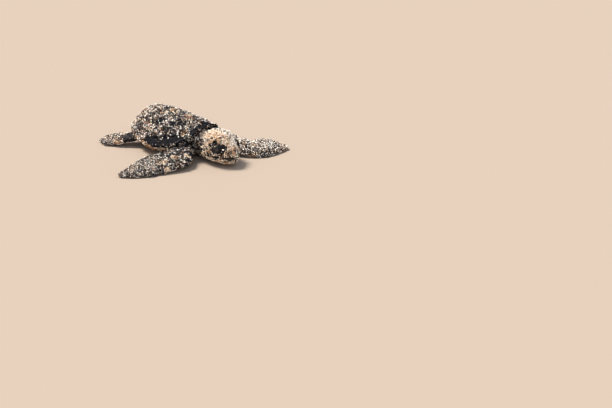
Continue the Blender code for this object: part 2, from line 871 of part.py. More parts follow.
def grown(source, cutters):
    """A cutter one gap larger than the object all round."""
    name = f"room_for_{source.name}"
    found = bpy.data.objects.get(name)
    if found:
        return found
    bpy.context.view_layer.update()
    data = evaluated_mesh(source)
    mesh = bmesh.new()
    mesh.from_mesh(data)
    mesh.normal_update()
    steps = [vert.normal * vert.calc_shell_factor() * GAP * MM for vert in mesh.verts]
    for vert, step in zip(mesh.verts, steps):
        vert.co += step.normalized() * min(step.length, 2 * GAP * MM)
    mesh.to_mesh(data)
    mesh.free()
    made = bpy.data.objects.new(name, data)
    cutters.objects.link(made)
    hide_cutter(made)
    return made


def subtract(target, cutter):
    """Cuts one object with another."""
    cut = target.modifiers.new(f"less_{cutter.name}", "BOOLEAN")
    cut.operation = "DIFFERENCE"
    cut.solver = "EXACT"
    cut.object = cutter


def make_room(target, neighbours, cutters):
    """Cuts the target so that it stays one gap clear of each neighbour."""
    for neighbour in neighbours:
        subtract(target, grown(neighbour, cutters))


def main():
    """Builds every sub-part and fits each to its neighbours."""
    clear_scene()
    parts, cutters = collection("loggerhead_hatchling"), collection("cutters")
    parts.objects.link(bpy.data.objects.new(BODY, None))
    make_vertebrals(parts)
    make_costals(parts)
    make_rim(parts)
    make_plastron(parts)
    make_bridges(parts)
    trunk = make_trunk(parts)
    head = make_head(parts, cutters)[0]
    neck = make_neck(parts)
    make_room(neck, (trunk, head, bpy.data.objects["plastron_gular"]), cutters)
    make_room(make_tail(parts), (trunk, bpy.data.objects["plastron_anal"]), cutters)

    body_room = make_body_room(cutters)
    limbs = (
        ("front", "right", 1, FRONT_RIGHT, ("arm", "blade"), 3, (4, 5)),
        ("front", "left", -1, FRONT_LEFT, ("arm", "blade"), 4, (4, 5)),
        ("hind", "right", 1, HIND_RIGHT, ("thigh", "paddle"), 2, (2, 3)),
        ("hind", "left", -1, HIND_LEFT, ("thigh", "paddle"), 2, (2, 3)),
    )
    for end, word, side, stations, names, cut_at, claw_places in limbs:
        labels = [f"flipper_{end}_{word}_{name}" for name in names]
        root, outer, frames = make_limb(stations, side, labels, cut_at, parts)
        subtract(root, body_room)
        make_room(root, (bpy.data.objects[f"carapace_rim_{word}"],), cutters)
        for number, claw_place in enumerate(claw_places, 1):
            frame = frames[claw_place * LIMB_STEPS + (1 if number == 1 else -1)]
            length = CLAW_LENGTH * (1.0 if number == 1 else 0.85)
            claw = make_claw(f"claw_{end}_{word}_{number}", frame, length, parts)
            make_room(claw, (outer,), cutters)


main()
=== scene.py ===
"""A loggerhead turtle hatchling, crawling in a coat of beach sand: hide, shell, horn, eyes and grains.

The frame's solids give the outer ends of the sand. The hide and plates are shaped just inside them, and the
sand is then laid on grain by grain. Shapes are worked out in millimetres. The animal faces -Y, its right side
is towards -X, and the floor is z = 0.
"""

import logging
import math
from collections.abc import Iterable, Mapping, Sequence
from dataclasses import dataclass, field
from enum import Enum
from typing import Any

import bmesh
import bpy
import numpy as np
from mathutils import Matrix, Vector
from mathutils.bvhtree import BVHTree
from mathutils.kdtree import KDTree


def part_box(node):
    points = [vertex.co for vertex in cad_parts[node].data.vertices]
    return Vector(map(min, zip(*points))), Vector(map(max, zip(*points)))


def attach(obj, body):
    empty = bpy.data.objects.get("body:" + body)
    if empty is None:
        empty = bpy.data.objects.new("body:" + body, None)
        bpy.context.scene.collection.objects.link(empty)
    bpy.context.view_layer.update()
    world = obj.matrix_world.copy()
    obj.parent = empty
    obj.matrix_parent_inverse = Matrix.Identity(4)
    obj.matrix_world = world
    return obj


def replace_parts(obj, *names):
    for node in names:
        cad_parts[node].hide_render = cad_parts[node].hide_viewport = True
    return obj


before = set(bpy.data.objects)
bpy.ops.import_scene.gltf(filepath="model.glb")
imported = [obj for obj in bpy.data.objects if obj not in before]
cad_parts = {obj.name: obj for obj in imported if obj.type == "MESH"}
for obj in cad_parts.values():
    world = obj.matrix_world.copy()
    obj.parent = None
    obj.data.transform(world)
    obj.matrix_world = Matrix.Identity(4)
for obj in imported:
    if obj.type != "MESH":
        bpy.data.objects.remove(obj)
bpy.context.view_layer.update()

MM = 0.001
BODY = "root"
CLEARANCE = 0.3  # millimetres between neighbouring solids of the frame
log = logging.getLogger("hatchling")


class Slot(Enum):
    """The record's material slots."""

    SHELL = "shell"
    PLASTRON = "plastron"
    HIDE = "hide"
    EYE = "eye"
    HORN = "horn"


# ---------------------------------------------------------------- small tools


def linear(code: str) -> tuple[float, float, float, float]:
    """A colour for a node socket from its sRGB hex code.

    Args:
        code: six hex digits, with or without a leading hash.

    Returns:
        Linear red, green and blue, and an alpha of 1.
    """
    shares = [int(code.lstrip("#")[k : k + 2], 16) / 255 for k in (0, 2, 4)]
    red, green, blue = (s / 12.92 if s <= 0.04045 else ((s + 0.055) / 1.055) ** 2.4 for s in shares)
    return red, green, blue, 1.0


def set_node(
    node: bpy.types.Node,
    settings: Mapping[Any, Any] | None = None,
    links: Mapping[Any, bpy.types.NodeSocket] | None = None,
) -> bpy.types.Node:
    """Gives a node its settings and links.

    Args:
        node: the node.
        settings: values by property name, or by an input's name or number. "stops" holds a ramp's places,
            each with its hex code.
        links: the output that feeds each input, by the input's name or number.

    Returns:
        The same node.
    """
    for key, value in (settings or {}).items():
        if key == "stops":
            stops = node.color_ramp.elements
            while len(stops) < len(value):
                stops.new(1.0)
            for stop, (place, code) in zip(stops, value):
                stop.position, stop.color = place, linear(code)
        elif isinstance(key, str) and hasattr(node, key):
            setattr(node, key, value)
        else:
            node.inputs[key].default_value = value
    for key, output in (links or {}).items():
        node.id_data.links.new(output, node.inputs[key])
    return node


def add_node(
    tree: bpy.types.NodeTree,
    kind: str,
    settings: Mapping[Any, Any] | None = None,
    links: Mapping[Any, bpy.types.NodeSocket] | None = None,
) -> bpy.types.Node:
    """Adds one node of a kind, such as ShaderNodeMath, with its settings and links as in set_node."""
    return set_node(tree.nodes.new(kind), settings, links)


def new_material(name: str) -> tuple[bpy.types.Material, bpy.types.NodeTree, bpy.types.Node]:
    """A new material, its tree and its Principled shader."""
    made = bpy.data.materials.new(name)
    made.use_nodes = True
    return made, made.node_tree, made.node_tree.nodes["Principled BSDF"]


def add_object(name: str, data: Any) -> bpy.types.Object:
    """Puts a mesh, lamp or camera in the scene as a new object."""
    made = bpy.data.objects.new(name, data)
    bpy.context.scene.collection.objects.link(made)
    return made


def add_piece(
    name: str, mesh: bpy.types.Mesh, finish: bpy.types.Material, values: Mapping[str, np.ndarray]
) -> bpy.types.Object:
    """Puts a mesh in the scene as a piece that rides on the body, and reports it.

    Args:
        name: the piece's name.
        mesh: its mesh, in metres.
        finish: its material.
        values: what its material reads, one number for each corner of the mesh.

    Returns:
        The piece.
    """
    mesh.materials.append(finish)
    for key, row in values.items():
        mesh.attributes.new(key, "FLOAT", "POINT").data.foreach_set("value", row.astype(np.float32))
    made = add_object(name, mesh)
    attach(made, BODY)
    log.info("%s: %d faces", name, len(mesh.polygons))
    return made


def per_mm(size: float) -> float:
    """The texture scale, in object space, of a pattern whose features are this many millimetres across."""
    return 1000.0 / size


def unit(rows: np.ndarray) -> np.ndarray:
    """The rows of an array made one long."""
    return rows / np.maximum(np.linalg.norm(rows, axis=-1, keepdims=True), 1e-12)


def smooth_step(low: float, high: float, values: np.ndarray) -> np.ndarray:
    """0 below low and 1 above high, with an even slope between; low may be the larger."""
    share = np.clip((values - low) / (high - low), 0, 1)
    return share * share * (3 - 2 * share)


def ripples(points: np.ndarray, size: float, seed: int, count: int = 14) -> np.ndarray:
    """A soft random field, the same at the same place, mostly between -1.5 and 1.5.

    Args:
        points: places in millimetres.
        size: the width of its features in millimetres.
        seed: which field.
        count: how many waves are added up.

    Returns:
        One value for each point.
    """
    random = np.random.default_rng(seed)
    ways = unit(random.normal(size=(count, 3))) * (math.pi / size) * random.uniform(0.6, 1.5, (count, 1))
    phases = random.uniform(0, 2 * math.pi, count)
    return np.cos(points @ ways.T + phases).sum(1) / math.sqrt(count / 2)


def body_place(points: np.ndarray) -> tuple[np.ndarray, np.ndarray, np.ndarray]:
    """How far forward, to the animal's right, and up each point is."""
    return -points[:, 1], -points[:, 0], points[:, 2]


# ---------------------------------------------------------------- the animal's own measures


@dataclass(frozen=True)
class HeadMeasures:
    """The head's own axis, which turns a little to the animal's right."""

    base: float = 22.0  # forward of the rest face's middle
    turn: float = math.radians(7)
    mouth: float = 5.0  # height of the mouth's line
    beak: float = 15.7  # how far along it the horn starts

    def measure(self, points: np.ndarray) -> tuple[np.ndarray, np.ndarray, np.ndarray]:
        """Places along the head, to its right, and up.

        Args:
            points: places in millimetres.

        Returns:
            Three arrays of millimetres.
        """
        forward, right, up = body_place(points)
        ahead = forward - self.base
        along = ahead * math.cos(self.turn) + right * math.sin(self.turn)
        return along, right * math.cos(self.turn) - ahead * math.sin(self.turn), up

    def point(self, along: float, right: float, up: float) -> np.ndarray:
        """The point at a place along the head, to its right, and up."""
        forward = self.base + along * math.cos(self.turn) - right * math.sin(self.turn)
        sideways = along * math.sin(self.turn) + right * math.cos(self.turn)
        return np.array((-sideways, -forward, up))

    def mouth_line(self, along: np.ndarray) -> np.ndarray:
        """How high the line between the jaws runs, which climbs towards the cheek."""
        return self.mouth + 0.9 * smooth_step(10.5, 7.0, along)

    def direction(self, along: float, right: float, up: float) -> np.ndarray:
        """A direction given in the head's own terms, one long."""
        return unit(self.point(along, right, up) - self.point(0, 0, 0))


@dataclass(frozen=True)
class ShellMeasures:
    """The carapace's outline, seen from above."""

    length: float = 46.0
    width: float = 35.5
    marginals: int = 11
    nuchal_angle: float = 0.27
    supracaudal_angle: float = 0.22

    def outline_angle(self, points: np.ndarray) -> np.ndarray:
        """How far round the outline each point is, from 0 at the front to pi at the rear.

        Args:
            points: places in millimetres.

        Returns:
            One angle for each point, the same on both sides of the shell.
        """
        angles = np.linspace(0.001, math.pi - 0.001, 400)
        share = (1 - np.cos(angles)) / 2
        sideways = self.width / 2 * np.sin(math.pi * share**0.75) ** 0.6
        bearing = np.arctan2(sideways, (0.5 - share) * self.length)
        forward, right, _ = body_place(points)
        return np.interp(np.arctan2(np.abs(right), forward), bearing, angles)

    def rim_seam(self, points: np.ndarray) -> np.ndarray:
        """Millimetres from each point to the nearest seam between two rim plates.

        Args:
            points: places in millimetres.

        Returns:
            One distance for each point.
        """
        first = self.nuchal_angle + 3 * CLEARANCE / (self.length / 2)
        last = math.pi - self.supracaudal_angle - 2 * CLEARANCE / (self.length / 2)
        share = (self.outline_angle(points) - first) / (last - first) * self.marginals
        return np.abs(share - np.round(share)) * (last - first) / self.marginals * self.length / 2


HEAD = HeadMeasures()
SHELL = ShellMeasures()
EYES = {
    word: (np.array(sum(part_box(f"eye_{word}"), Vector()) / 2) / MM, side)
    for word, side in (("right", 1), ("left", -1))
}
EYE_RADIUS = (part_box("eye_right")[1].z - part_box("eye_right")[0].z) / 2 / MM


# ---------------------------------------------------------------- surfaces


@dataclass
class Surface:
    """A closed skin of faces with four corners, where a triangle repeats its last one. Millimetres."""

    points: np.ndarray
    faces: np.ndarray
    values: dict[str, np.ndarray] = field(default_factory=dict)

    @classmethod
    def wrapped(cls, solids: Iterable[bmesh.types.BMesh], voxel: float, grow: float) -> "Surface":
        """One even surface round several solids, which are grown first so that they run together.

        Args:
            solids: closed meshes in millimetres, which are freed.
            voxel: the width of its faces.
            grow: how far each solid is grown.

        Returns:
            The surface.
        """
        points: list[Vector] = []
        faces: list[list[int]] = []
        for solid in solids:
            solid.normal_update()
            start = len(points)
            points += [vert.co + vert.normal * grow for vert in solid.verts]
            faces += [[start + vert.index for vert in face.verts] for face in solid.faces]
            solid.free()
        mesh = bpy.data.meshes.new("wrapping")
        mesh.from_pydata(points, [], faces)
        rough = add_object("wrapping", mesh)
        remesh = rough.modifiers.new("wrap", "REMESH")
        remesh.mode, remesh.voxel_size = "VOXEL", voxel
        even = rough.evaluated_get(bpy.context.evaluated_depsgraph_get()).to_mesh()
        corners = np.empty(len(even.vertices) * 3, np.float32)
        even.vertices.foreach_get("co", corners)
        quads = np.empty(len(even.loops), np.int32)
        even.loops.foreach_get("vertex_index", quads)
        made = cls(corners.reshape(-1, 3).astype(float), quads.reshape(-1, 4).astype(np.int64))
        bpy.data.objects.remove(rough)
        bpy.data.meshes.remove(mesh)
        return made

    def edges(self) -> np.ndarray:
        """Each pair of joined corners once."""
        ends = np.concatenate([self.faces[:, [k, (k + 1) % 4]] for k in range(4)])
        return np.unique(np.sort(ends[ends[:, 0] != ends[:, 1]], axis=1), axis=0)

    def averaged(self, values: np.ndarray, edges: np.ndarray) -> np.ndarray:
        """Each corner's mean of its neighbours' values.

        Args:
            values: a number or a row of them for each corner.
            edges: pairs of joined corners.

        Returns:
            The means, shaped as the values are.
        """
        ends, others = np.concatenate([edges, edges[:, ::-1]]).T
        count = np.maximum(np.bincount(ends, minlength=len(self.points)), 1)
        columns = values.reshape(len(self.points), -1).T
        sums = [np.bincount(ends, weights=column[others], minlength=len(count)) for column in columns]
        return (np.array(sums) / count).T.reshape(values.shape)

    def smooth(self, rounds: int) -> None:
        """Evens the surface out, giving back in each round what it shrank."""
        edges = self.edges()
        for step in (0.5, -0.53) * rounds:
            self.points = self.points + step * (self.averaged(self.points, edges) - self.points)

    def softened(self, values: np.ndarray, rounds: int) -> np.ndarray:
        """Values at the corners, evened out over the surface.

        Args:
            values: one for each corner.
            rounds: how many times each is mixed with its neighbours'.

        Returns:
            The new values.
        """
        edges = self.edges()
        for _ in range(rounds):
            values = (values + self.averaged(values, edges)) / 2
        return values

    def normals(self) -> np.ndarray:
        """Outward directions at the corners.

        Returns:
            One row for each corner, one long.
        """
        a, b, c, d = (self.points[self.faces[:, k]] for k in range(4))
        across = np.cross(c - a, d - b)
        found = np.zeros_like(self.points)
        for corner in range(4):
            for axis in range(3):
                found[:, axis] += np.bincount(self.faces[:, corner], across[:, axis], len(found))
        return unit(found)

    def move(self, distance: np.ndarray | float) -> None:
        """Moves each corner outwards by its own distance."""
        self.points = self.points + self.normals() * np.reshape(distance, (-1, 1))

    def tree(self) -> BVHTree:
        """The surface, for casting rays at."""
        return BVHTree.FromPolygons(self.points.tolist(), [corners_of(f) for f in self.faces.tolist()])

    def thickness(self) -> np.ndarray:
        """How far it is to the far side, straight in from each corner.

        Returns:
            Millimetres for each corner, at most the length of the ray.
        """
        far, start = 20.0, 0.02
        tree = self.tree()
        inward = -self.normals()
        starts = self.points + inward * start
        hits = (tree.ray_cast(p, d, far)[3] for p, d in zip(starts.tolist(), inward.tolist()))
        return np.array([far if hit is None else hit for hit in hits])

    def refine(self, chosen: np.ndarray) -> None:
        """Divides the chosen faces in four, and fans out their neighbours to meet them.

        Args:
            chosen: which corners; a face is divided where it has only chosen corners.
        """
        whole = chosen[self.faces].all(1) & (self.faces[:, 2] != self.faces[:, 3])
        quads, rest = self.faces[whole], self.faces[~whole]
        ends = np.sort(np.stack([quads, np.roll(quads, -1, 1)], -1).reshape(-1, 2), axis=1)
        pairs, index = np.unique(ends, axis=0, return_inverse=True)
        count = len(self.points)
        middles = (index.reshape(-1) + count).reshape(-1, 4)
        hearts = np.arange(len(quads)) + count + len(pairs)
        self.points = np.concatenate([self.points, self.points[pairs].mean(1), self.points[quads].mean(1)])
        parts = [np.stack([quads[:, k], middles[:, k], hearts, middles[:, k - 1]], 1) for k in range(4)]
        split = {tuple(pair): count + k for k, pair in enumerate(pairs.tolist())}
        touched = np.isin(rest, pairs).sum(1) > 1
        fans = []
        for face in rest[touched].tolist():
            ring = []
            corners = corners_of(face)
            for here, after in zip(corners, corners[1:] + corners[:1]):
                ring.append(here)
                middle = split.get((min(here, after), max(here, after)))
                if middle is not None:
                    ring.append(middle)
            if len(ring) == len(corners):
                fans.append(face)
                continue
            start = next(k for k, corner in enumerate(ring) if corner >= count)
            ring = ring[start:] + ring[:start]
            fans += [[ring[0], near, far, far] for near, far in zip(ring[1:], ring[2:])]
        self.faces = np.concatenate([*parts, rest[~touched], np.array(fans, np.int64).reshape(-1, 4)])

    def object(self, name: str, finish: bpy.types.Material, slot: Slot) -> bpy.types.Object:
        """Puts the surface in the scene as a piece.

        Args:
            name: the piece's name.
            finish: its material.
            slot: the record's material slot that it stands for; not used.

        Returns:
            The piece.
        """
        mesh = bpy.data.meshes.new(name)
        mesh.from_pydata((self.points * MM).tolist(), [], [corners_of(f) for f in self.faces.tolist()])
        mesh.shade_smooth()
        return add_piece(name, mesh, finish, self.values)


def corners_of(face: list[int]) -> list[int]:
    """A face's corners without the repeated last one."""
    return face[:3] if face[2] == face[3] else face


def solid_of(node: str) -> bmesh.types.BMesh:
    """A node of the frame as one closed mesh in millimetres.

    Args:
        node: the node's name.

    Returns:
        Its mesh, with doubled corners joined and its faces turned outwards.
    """
    solid = bmesh.new()
    solid.from_mesh(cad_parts[node].data)
    bmesh.ops.scale(solid, vec=(1 / MM,) * 3, verts=solid.verts)
    bmesh.ops.remove_doubles(solid, verts=solid.verts, dist=1e-3)
    bmesh.ops.recalc_face_normals(solid, faces=solid.faces)
    solid.verts.index_update()
    return solid


def ball_of(centre: np.ndarray, radius: float) -> bmesh.types.BMesh:
    """A closed ball in millimetres.

    Args:
        centre: its middle.
        radius: its radius.

    Returns:
        Its mesh.
    """
    solid = bmesh.new()
    bmesh.ops.create_icosphere(solid, subdivisions=3, radius=radius)
    bmesh.ops.translate(solid, verts=solid.verts, vec=Vector(centre))
    solid.verts.index_update()
    return solid


# ---------------------------------------------------------------- where the sand is


@dataclass(frozen=True)
class SandSpot:
    """A rounded zone of the coat, round a place given forward, to the right and up."""

    place: tuple[float, float, float]
    reach: tuple[float, float, float]
    density: float  # share of the surface that grains cover
    tone: float  # 0 dark to 1 white
    warmth: float  # 0 grey to 1 amber
    crust: float  # fine damp sand caked between the grains


def both_sides(spot: SandSpot) -> tuple[SandSpot, SandSpot]:
    """The spot and its mirror image."""
    forward, right, up = spot.place
    return spot, SandSpot((forward, -right, up), spot.reach, spot.density, spot.tone, spot.warmth, spot.crust)


@dataclass(frozen=True)
class SandCover:
    """The coat's pattern, which the hide, the plates and the grains all read.

    Over the plain cover lie the spots, and where they meet the later one wins. Some spots thin and darken the
    cover where the animal lies in shadow, which is painted shade, and two add amber warmth as painted bounce
    light.
    """

    plain: tuple[float, float, float, float] = (0.76, 0.62, 0.24, 0.04)
    spots: tuple[SandSpot, ...] = (
        # the four limbs, greyer than the shell and paler towards their ends
        SandSpot((17, 30, 3), (13, 22, 9), 0.62, 0.50, 0.20, 0.04),
        # painted shade: thinner, darker cover on the right arm's root, under the shell's rim
        SandSpot((15.4, 20.6, 5.6), (2.6, 2.6, 2.0), 0.36, 0.42, 0.20, 0.0),
        SandSpot((18.6, 19.6, 6.8), (2.6, 2.6, 1.6), 0.60, 0.46, 0.20, 0.0),
        SandSpot((13, 41, 4), (9, 13, 8), 0.96, 0.72, 0.10, 0.14),
        # painted shade: darker cover along the right blade's lower edge, next to the floor
        SandSpot((16.0, 45.0, 1.2), (3.0, 4.0, 1.1), 0.60, 0.46, 0.30, 0.0),
        SandSpot((20.0, 37.5, 1.0), (2.0, 5.0, 1.2), 0.70, 0.50, 0.20, 0.0),
        SandSpot((12.8, 41.0, 3.8), (2.2, 4.0, 1.5), 0.95, 0.78, 0.20, 0.25),
        SandSpot((35, -20, 3), (16, 14, 9), 0.84, 0.64, 0.12, 0.06),
        SandSpot((38, -24, 6.2), (9, 11, 3.0), 0.98, 0.84, -0.1, 0.35),
        SandSpot((41, -29, 3), (4, 4, 4), 0.88, 0.74, 0.20, 0.10),
        SandSpot((38.7, -22.6, 5.3), (4.0, 3.8, 3.0), 1.0, 0.92, -0.2, 0.25),
        SandSpot((33.0, -12.0, 5.6), (3.6, 2.8, 3.0), 0.85, 0.76, 0.30, 0.25),
        # painted shade: darker cover under the left arm
        SandSpot((38.6, -12.5, 2.0), (3.0, 4.5, 1.2), 0.72, 0.58, 0.60, 0.1),
        SandSpot((43.0, -31.5, 2.4), (3.0, 3.0, 3.0), 0.96, 0.86, 0.30, 0.3),
        *both_sides(SandSpot((-24, 15, 2), (12, 9, 7), 0.86, 0.66, 0.30, 0.10)),
        *both_sides(SandSpot((-28, 18, 2), (3, 5, 5), 0.92, 0.64, 0.30, 0.10)),
        # painted shade: thin, dark cover on both thighs' roots, under the shell's rear
        *both_sides(SandSpot((-12.5, 13, 4.6), (4.5, 4, 3), 0.24, 0.40, 0.26, 0.0)),
        # the belly and the undersides, pressed clean in places
        SandSpot((0, 0, -4), (30, 15, 7.2), 0.34, 0.62, 0.62, 0.30),
        # the shoulders and neck, thinly covered; the sparse, dark cover under the neck and beside the right
        # arm is painted shade
        *both_sides(SandSpot((17, 9.5, 7), (5, 4.5, 4.5), 0.52, 0.50, 0.22, 0.0)),
        SandSpot((20.0, 0.5, 9), (4.2, 8.5, 5.5), 0.70, 0.62, 0.22, 0.0),
        # painted shade: sparse dark cover low on the neck, beside the right arm
        SandSpot((22.4, 5.5, 3.5), (2.2, 4.5, 4.0), 0.20, 0.50, 0.30, 0.0),
        SandSpot((17.2, 12.3, 8.0), (3.6, 2.4, 1.9), 0.92, 0.78, 0.20, 0.0),
        # painted shade: almost no grains in the shadowed gap between the neck and the right arm
        SandSpot((24.2, 12.7, 5.4), (2.6, 2.5, 3.4), 0.05, 0.30, 0.20, 0.0),
        # the head: cheeks and jaw tan, the crown buried in pale sand
        SandSpot((32.5, 1.3, 6), (10.5, 10, 8.5), 0.90, 1.0, 1.1, 0.18),
        SandSpot((29.5, 0.8, 15), (10.5, 9.5, 6.2), 1.0, 1.14, 0.70, 1.0),
        SandSpot((24.5, 0, 14), (4.2, 7.5, 4.5), 1.0, 1.15, 0.40, 1.0),
        SandSpot((33.5, 6.0, 12.9), (5.0, 2.0, 1.3), 1.0, 0.88, 1.0, 0.95),
        SandSpot((38.0, 2.6, 10.6), (2.6, 3.4, 2.2), 0.98, 1.0, 0.75, 0.9),
        SandSpot((33.5, -3.8, 12.6), (6.0, 4.4, 4.4), 0.92, 0.88, 0.04, 0.60),
        SandSpot((38.0, -0.5, 11.0), (2.6, 2.6, 2.0), 1.0, 1.05, 0.14, 0.9),
        # painted shade: thin, dark cover on the neck just behind the head, where it meets the head
        *both_sides(SandSpot((24.6, 8.0, 10.2), (1.9, 2.2, 2.6), 0.24, 0.56, 0.30, 0.0)),
        SandSpot((24.3, 7.6, 6.8), (1.9, 2.2, 2.6), 0.16, 0.50, 0.30, 0.0),
        SandSpot((24.0, 5.6, 12.4), (1.5, 2.2, 1.5), 0.40, 0.56, 0.30, 0.0),
        SandSpot((31.4, -3.4, 14.2), (3.8, 2.8, 2.2), 1.0, 0.94, -0.2, 0.8),
        # the eyes, the beak and the corner of the mouth, rubbed clear
        SandSpot((34.7, 7.8, 8.4), (3.5, 3.4, 3.2), 0.80, 0.84, 1.0, 0.06),
        SandSpot((35.6, -3.6, 8.7), (2.5, 2.4, 2.4), 0.80, 0.80, 0.30, 0.10),
        SandSpot((33.0, 7.5, 11.4), (1.3, 1.6, 1.2), 0.24, 0.60, 0.35, 0.0),
        SandSpot((31.6, 8.4, 10.4), (1.3, 1.6, 0.9), 0.36, 0.70, 0.60, 0.0),
        SandSpot((37.4, 6.0, 9.6), (1.5, 1.8, 1.4), 0.42, 0.80, 0.30, 0.0),
        SandSpot((35.4, 8.2, 6.9), (2.2, 1.8, 1.2), 0.56, 0.86, 0.80, 0.0),
        *both_sides(SandSpot((40.5, 4.9, 7.2), (2.1, 1.6, 1.9), 0.40, 0.74, 0.60, 0.0)),
        SandSpot((42.2, 2.6, 4.8), (1.5, 2.1, 2.0), 0.60, 0.86, 0.70, 0.0),
        SandSpot((42.2, -0.6, 6.8), (2.0, 2.2, 2.0), 0.50, 0.84, 0.20, 0.0),
        SandSpot((41.5, 3.2, 7.1), (1.1, 1.1, 1.0), 1.0, 0.90, 0.60, 0.5),
        SandSpot((29.0, 9.2, 5.6), (2.4, 1.9, 2.4), 0.86, 1.0, 1.0, 0.12),
        SandSpot((31.6, 8.2, 3.4), (3.0, 2.1, 1.6), 0.86, 1.0, 1.1, 0.05),
        # bare wet shell along the flanks and over the neck; the band under the right rim and the gap before
        # the shoulder are widened and darkened as painted shade
        SandSpot((4.6, 16.4, 7.5), (8.8, 3.0, 2.5), 0.02, 0.34, 0.30, 0.0),
        SandSpot((12.0, 14.9, 8.6), (6.6, 3.3, 3.1), 0.04, 0.36, 0.35, 0.0),
        SandSpot((15.6, 12.0, 11.0), (4.6, 2.6, 1.8), 0.12, 0.38, 0.35, 0.0),
        SandSpot((13.0, 16.2, 6.2), (3.5, 1.6, 0.9), 0.50, 0.56, 0.25, 0.0),
        SandSpot((14.4, 15.0, 7.4), (1.9, 1.6, 0.9), 0.84, 0.76, 0.20, 0.1),
        SandSpot((-2.0, -16.3, 6.4), (7.5, 2.4, 1.8), 0.10, 0.40, 0.30, 0.0),
        SandSpot((21.4, 1.4, 15.8), (2.7, 6.0, 1.8), 0.14, 0.52, 0.20, 0.0),
        SandSpot((20.4, 7.2, 13.6), (2.4, 3.0, 1.8), 0.18, 0.52, 0.20, 0.0),
        SandSpot((21.5, -3.5, 15.0), (2.0, 3.6, 2.0), 0.16, 0.50, 0.20, 0.0),
        SandSpot((19.6, -7.6, 12.6), (2.2, 3.4, 2.4), 0.30, 0.60, 0.20, 0.0),
        SandSpot((17.5, -3.6, 16.2), (2.4, 2.6, 1.6), 0.50, 0.50, 0.10, 0.0),
        # darker places on the plates, where the grains lie thin
        SandSpot((-5.4, 0.0, 19.0), (2.0, 0.9, 0.9), 0.10, 0.45, 0.1, 0.0),
        SandSpot((-0.4, 7.9, 15.1), (1.8, 1.5, 1.4), 0.36, 0.42, 0.1, 0.0),
        SandSpot((8.0, 7.9, 15.0), (2.4, 1.5, 1.6), 0.10, 0.36, 0.1, 0.0),
        SandSpot((11.9, 6.0, 15.9), (2.5, 1.6, 1.5), 0.12, 0.36, 0.1, 0.0),
        SandSpot((7.0, 11.2, 12.8), (5.5, 1.8, 2.0), 0.46, 0.44, 0.1, 0.0),
        SandSpot((-4.5, 11.5, 11.4), (4.0, 2.4, 2.2), 0.90, 0.70, 0.2, 0.1),
        SandSpot((14.8, -0.2, 18.2), (1.3, 1.1, 1.1), 0.20, 0.40, 0.1, 0.0),
        SandSpot((3.5, -9, 14.6), (6, 1.8, 2.6), 0.32, 0.40, 0.2, 0.0),
        SandSpot((-9, -6, 15.6), (3, 2.4, 2.6), 0.36, 0.40, 0.2, 0.0),
        # browner and paler patches in the shell's cover
        SandSpot((-6.5, 3.6, 17.0), (7.5, 4.2, 3.0), 0.86, 0.70, 0.24, 0.12),
        SandSpot((4.0, 5.0, 17.4), (3.5, 2.2, 2.0), 0.86, 0.70, 0.24, 0.1),
        SandSpot((-3.7, 3.9, 17.3), (2.2, 1.5, 1.5), 0.80, 0.46, 0.98, 0.0),
        SandSpot((2.8, 1.4, 18.6), (2.3, 1.8, 1.6), 0.85, 0.68, 0.98, 0.1),
        SandSpot((12.2, 2.1, 17.6), (2.2, 2.0, 1.6), 0.88, 0.74, 0.90, 0.1),
        SandSpot((16.2, 9.4, 12.8), (1.9, 1.7, 1.6), 0.75, 0.44, 0.90, 0.0),
        SandSpot((-9.5, 8.5, 13.2), (4.0, 2.6, 2.8), 0.80, 0.55, 0.55, 0.05),
        SandSpot((-5.9, 14.2, 7.8), (1.6, 1.3, 1.2), 1.0, 0.88, 0.05, 0.3),
        SandSpot((-8.6, 14.6, 5.2), (3.6, 1.9, 1.4), 1.0, 0.78, 0.60, 0.4),
        # painted bounce light: tan sand low on the right flank, made more amber for light bounced from the
        # floor
        SandSpot((-3.0, 12.0, 2.4), (5.5, 3.0, 1.8), 0.70, 0.66, 1.4, 0.8),
        SandSpot((-2.0, 17.2, 5.2), (4.5, 1.4, 0.9), 0.80, 0.62, 1.1, 0.3),
        # single clumps on the right arm
        SandSpot((21.8, 22.5, 6.4), (1.7, 1.8, 1.3), 1.0, 0.66, 1.1, 0.3),
        SandSpot((24.5, 16.9, 6.4), (1.5, 1.5, 1.9), 1.0, 0.82, 0.75, 0.3),
        SandSpot((26.5, 23.8, 3.0), (1.0, 1.4, 1.2), 1.0, 0.50, 0.98, 0.2),
        SandSpot((20.6, 29.0, 4.9), (2.4, 2.4, 1.6), 1.0, 0.82, 0.60, 0.3),
        SandSpot((24.0, 29.6, 2.0), (1.6, 2.0, 1.6), 1.0, 0.82, 0.75, 0.35),
        SandSpot((28.5, -15.0, 6.4), (2.4, 2.2, 1.5), 1.0, 0.96, 0.20, 0.4),
        SandSpot((25.0, -16.8, 7.0), (1.6, 1.6, 1.0), 0.6, 0.50, 0.20, 0.0),
        SandSpot((-17.5, 18.5, 2.0), (3.2, 1.8, 1.8), 0.9, 0.82, 0.60, 0.3),
    )
    # where sand sits in small clumps: the place and reach of the head and of the right arm
    clumps: tuple[tuple[tuple[float, float, float], tuple[float, float, float]], ...] = (
        ((33.0, 2.0, 7.0), (13.0, 12.0, 9.0)),
        ((21.0, 21.0, 5.0), (9.0, 9.0, 7.0)),
    )
    cheek: float = 8.5  # how far out from the head's middle the mouth reaches

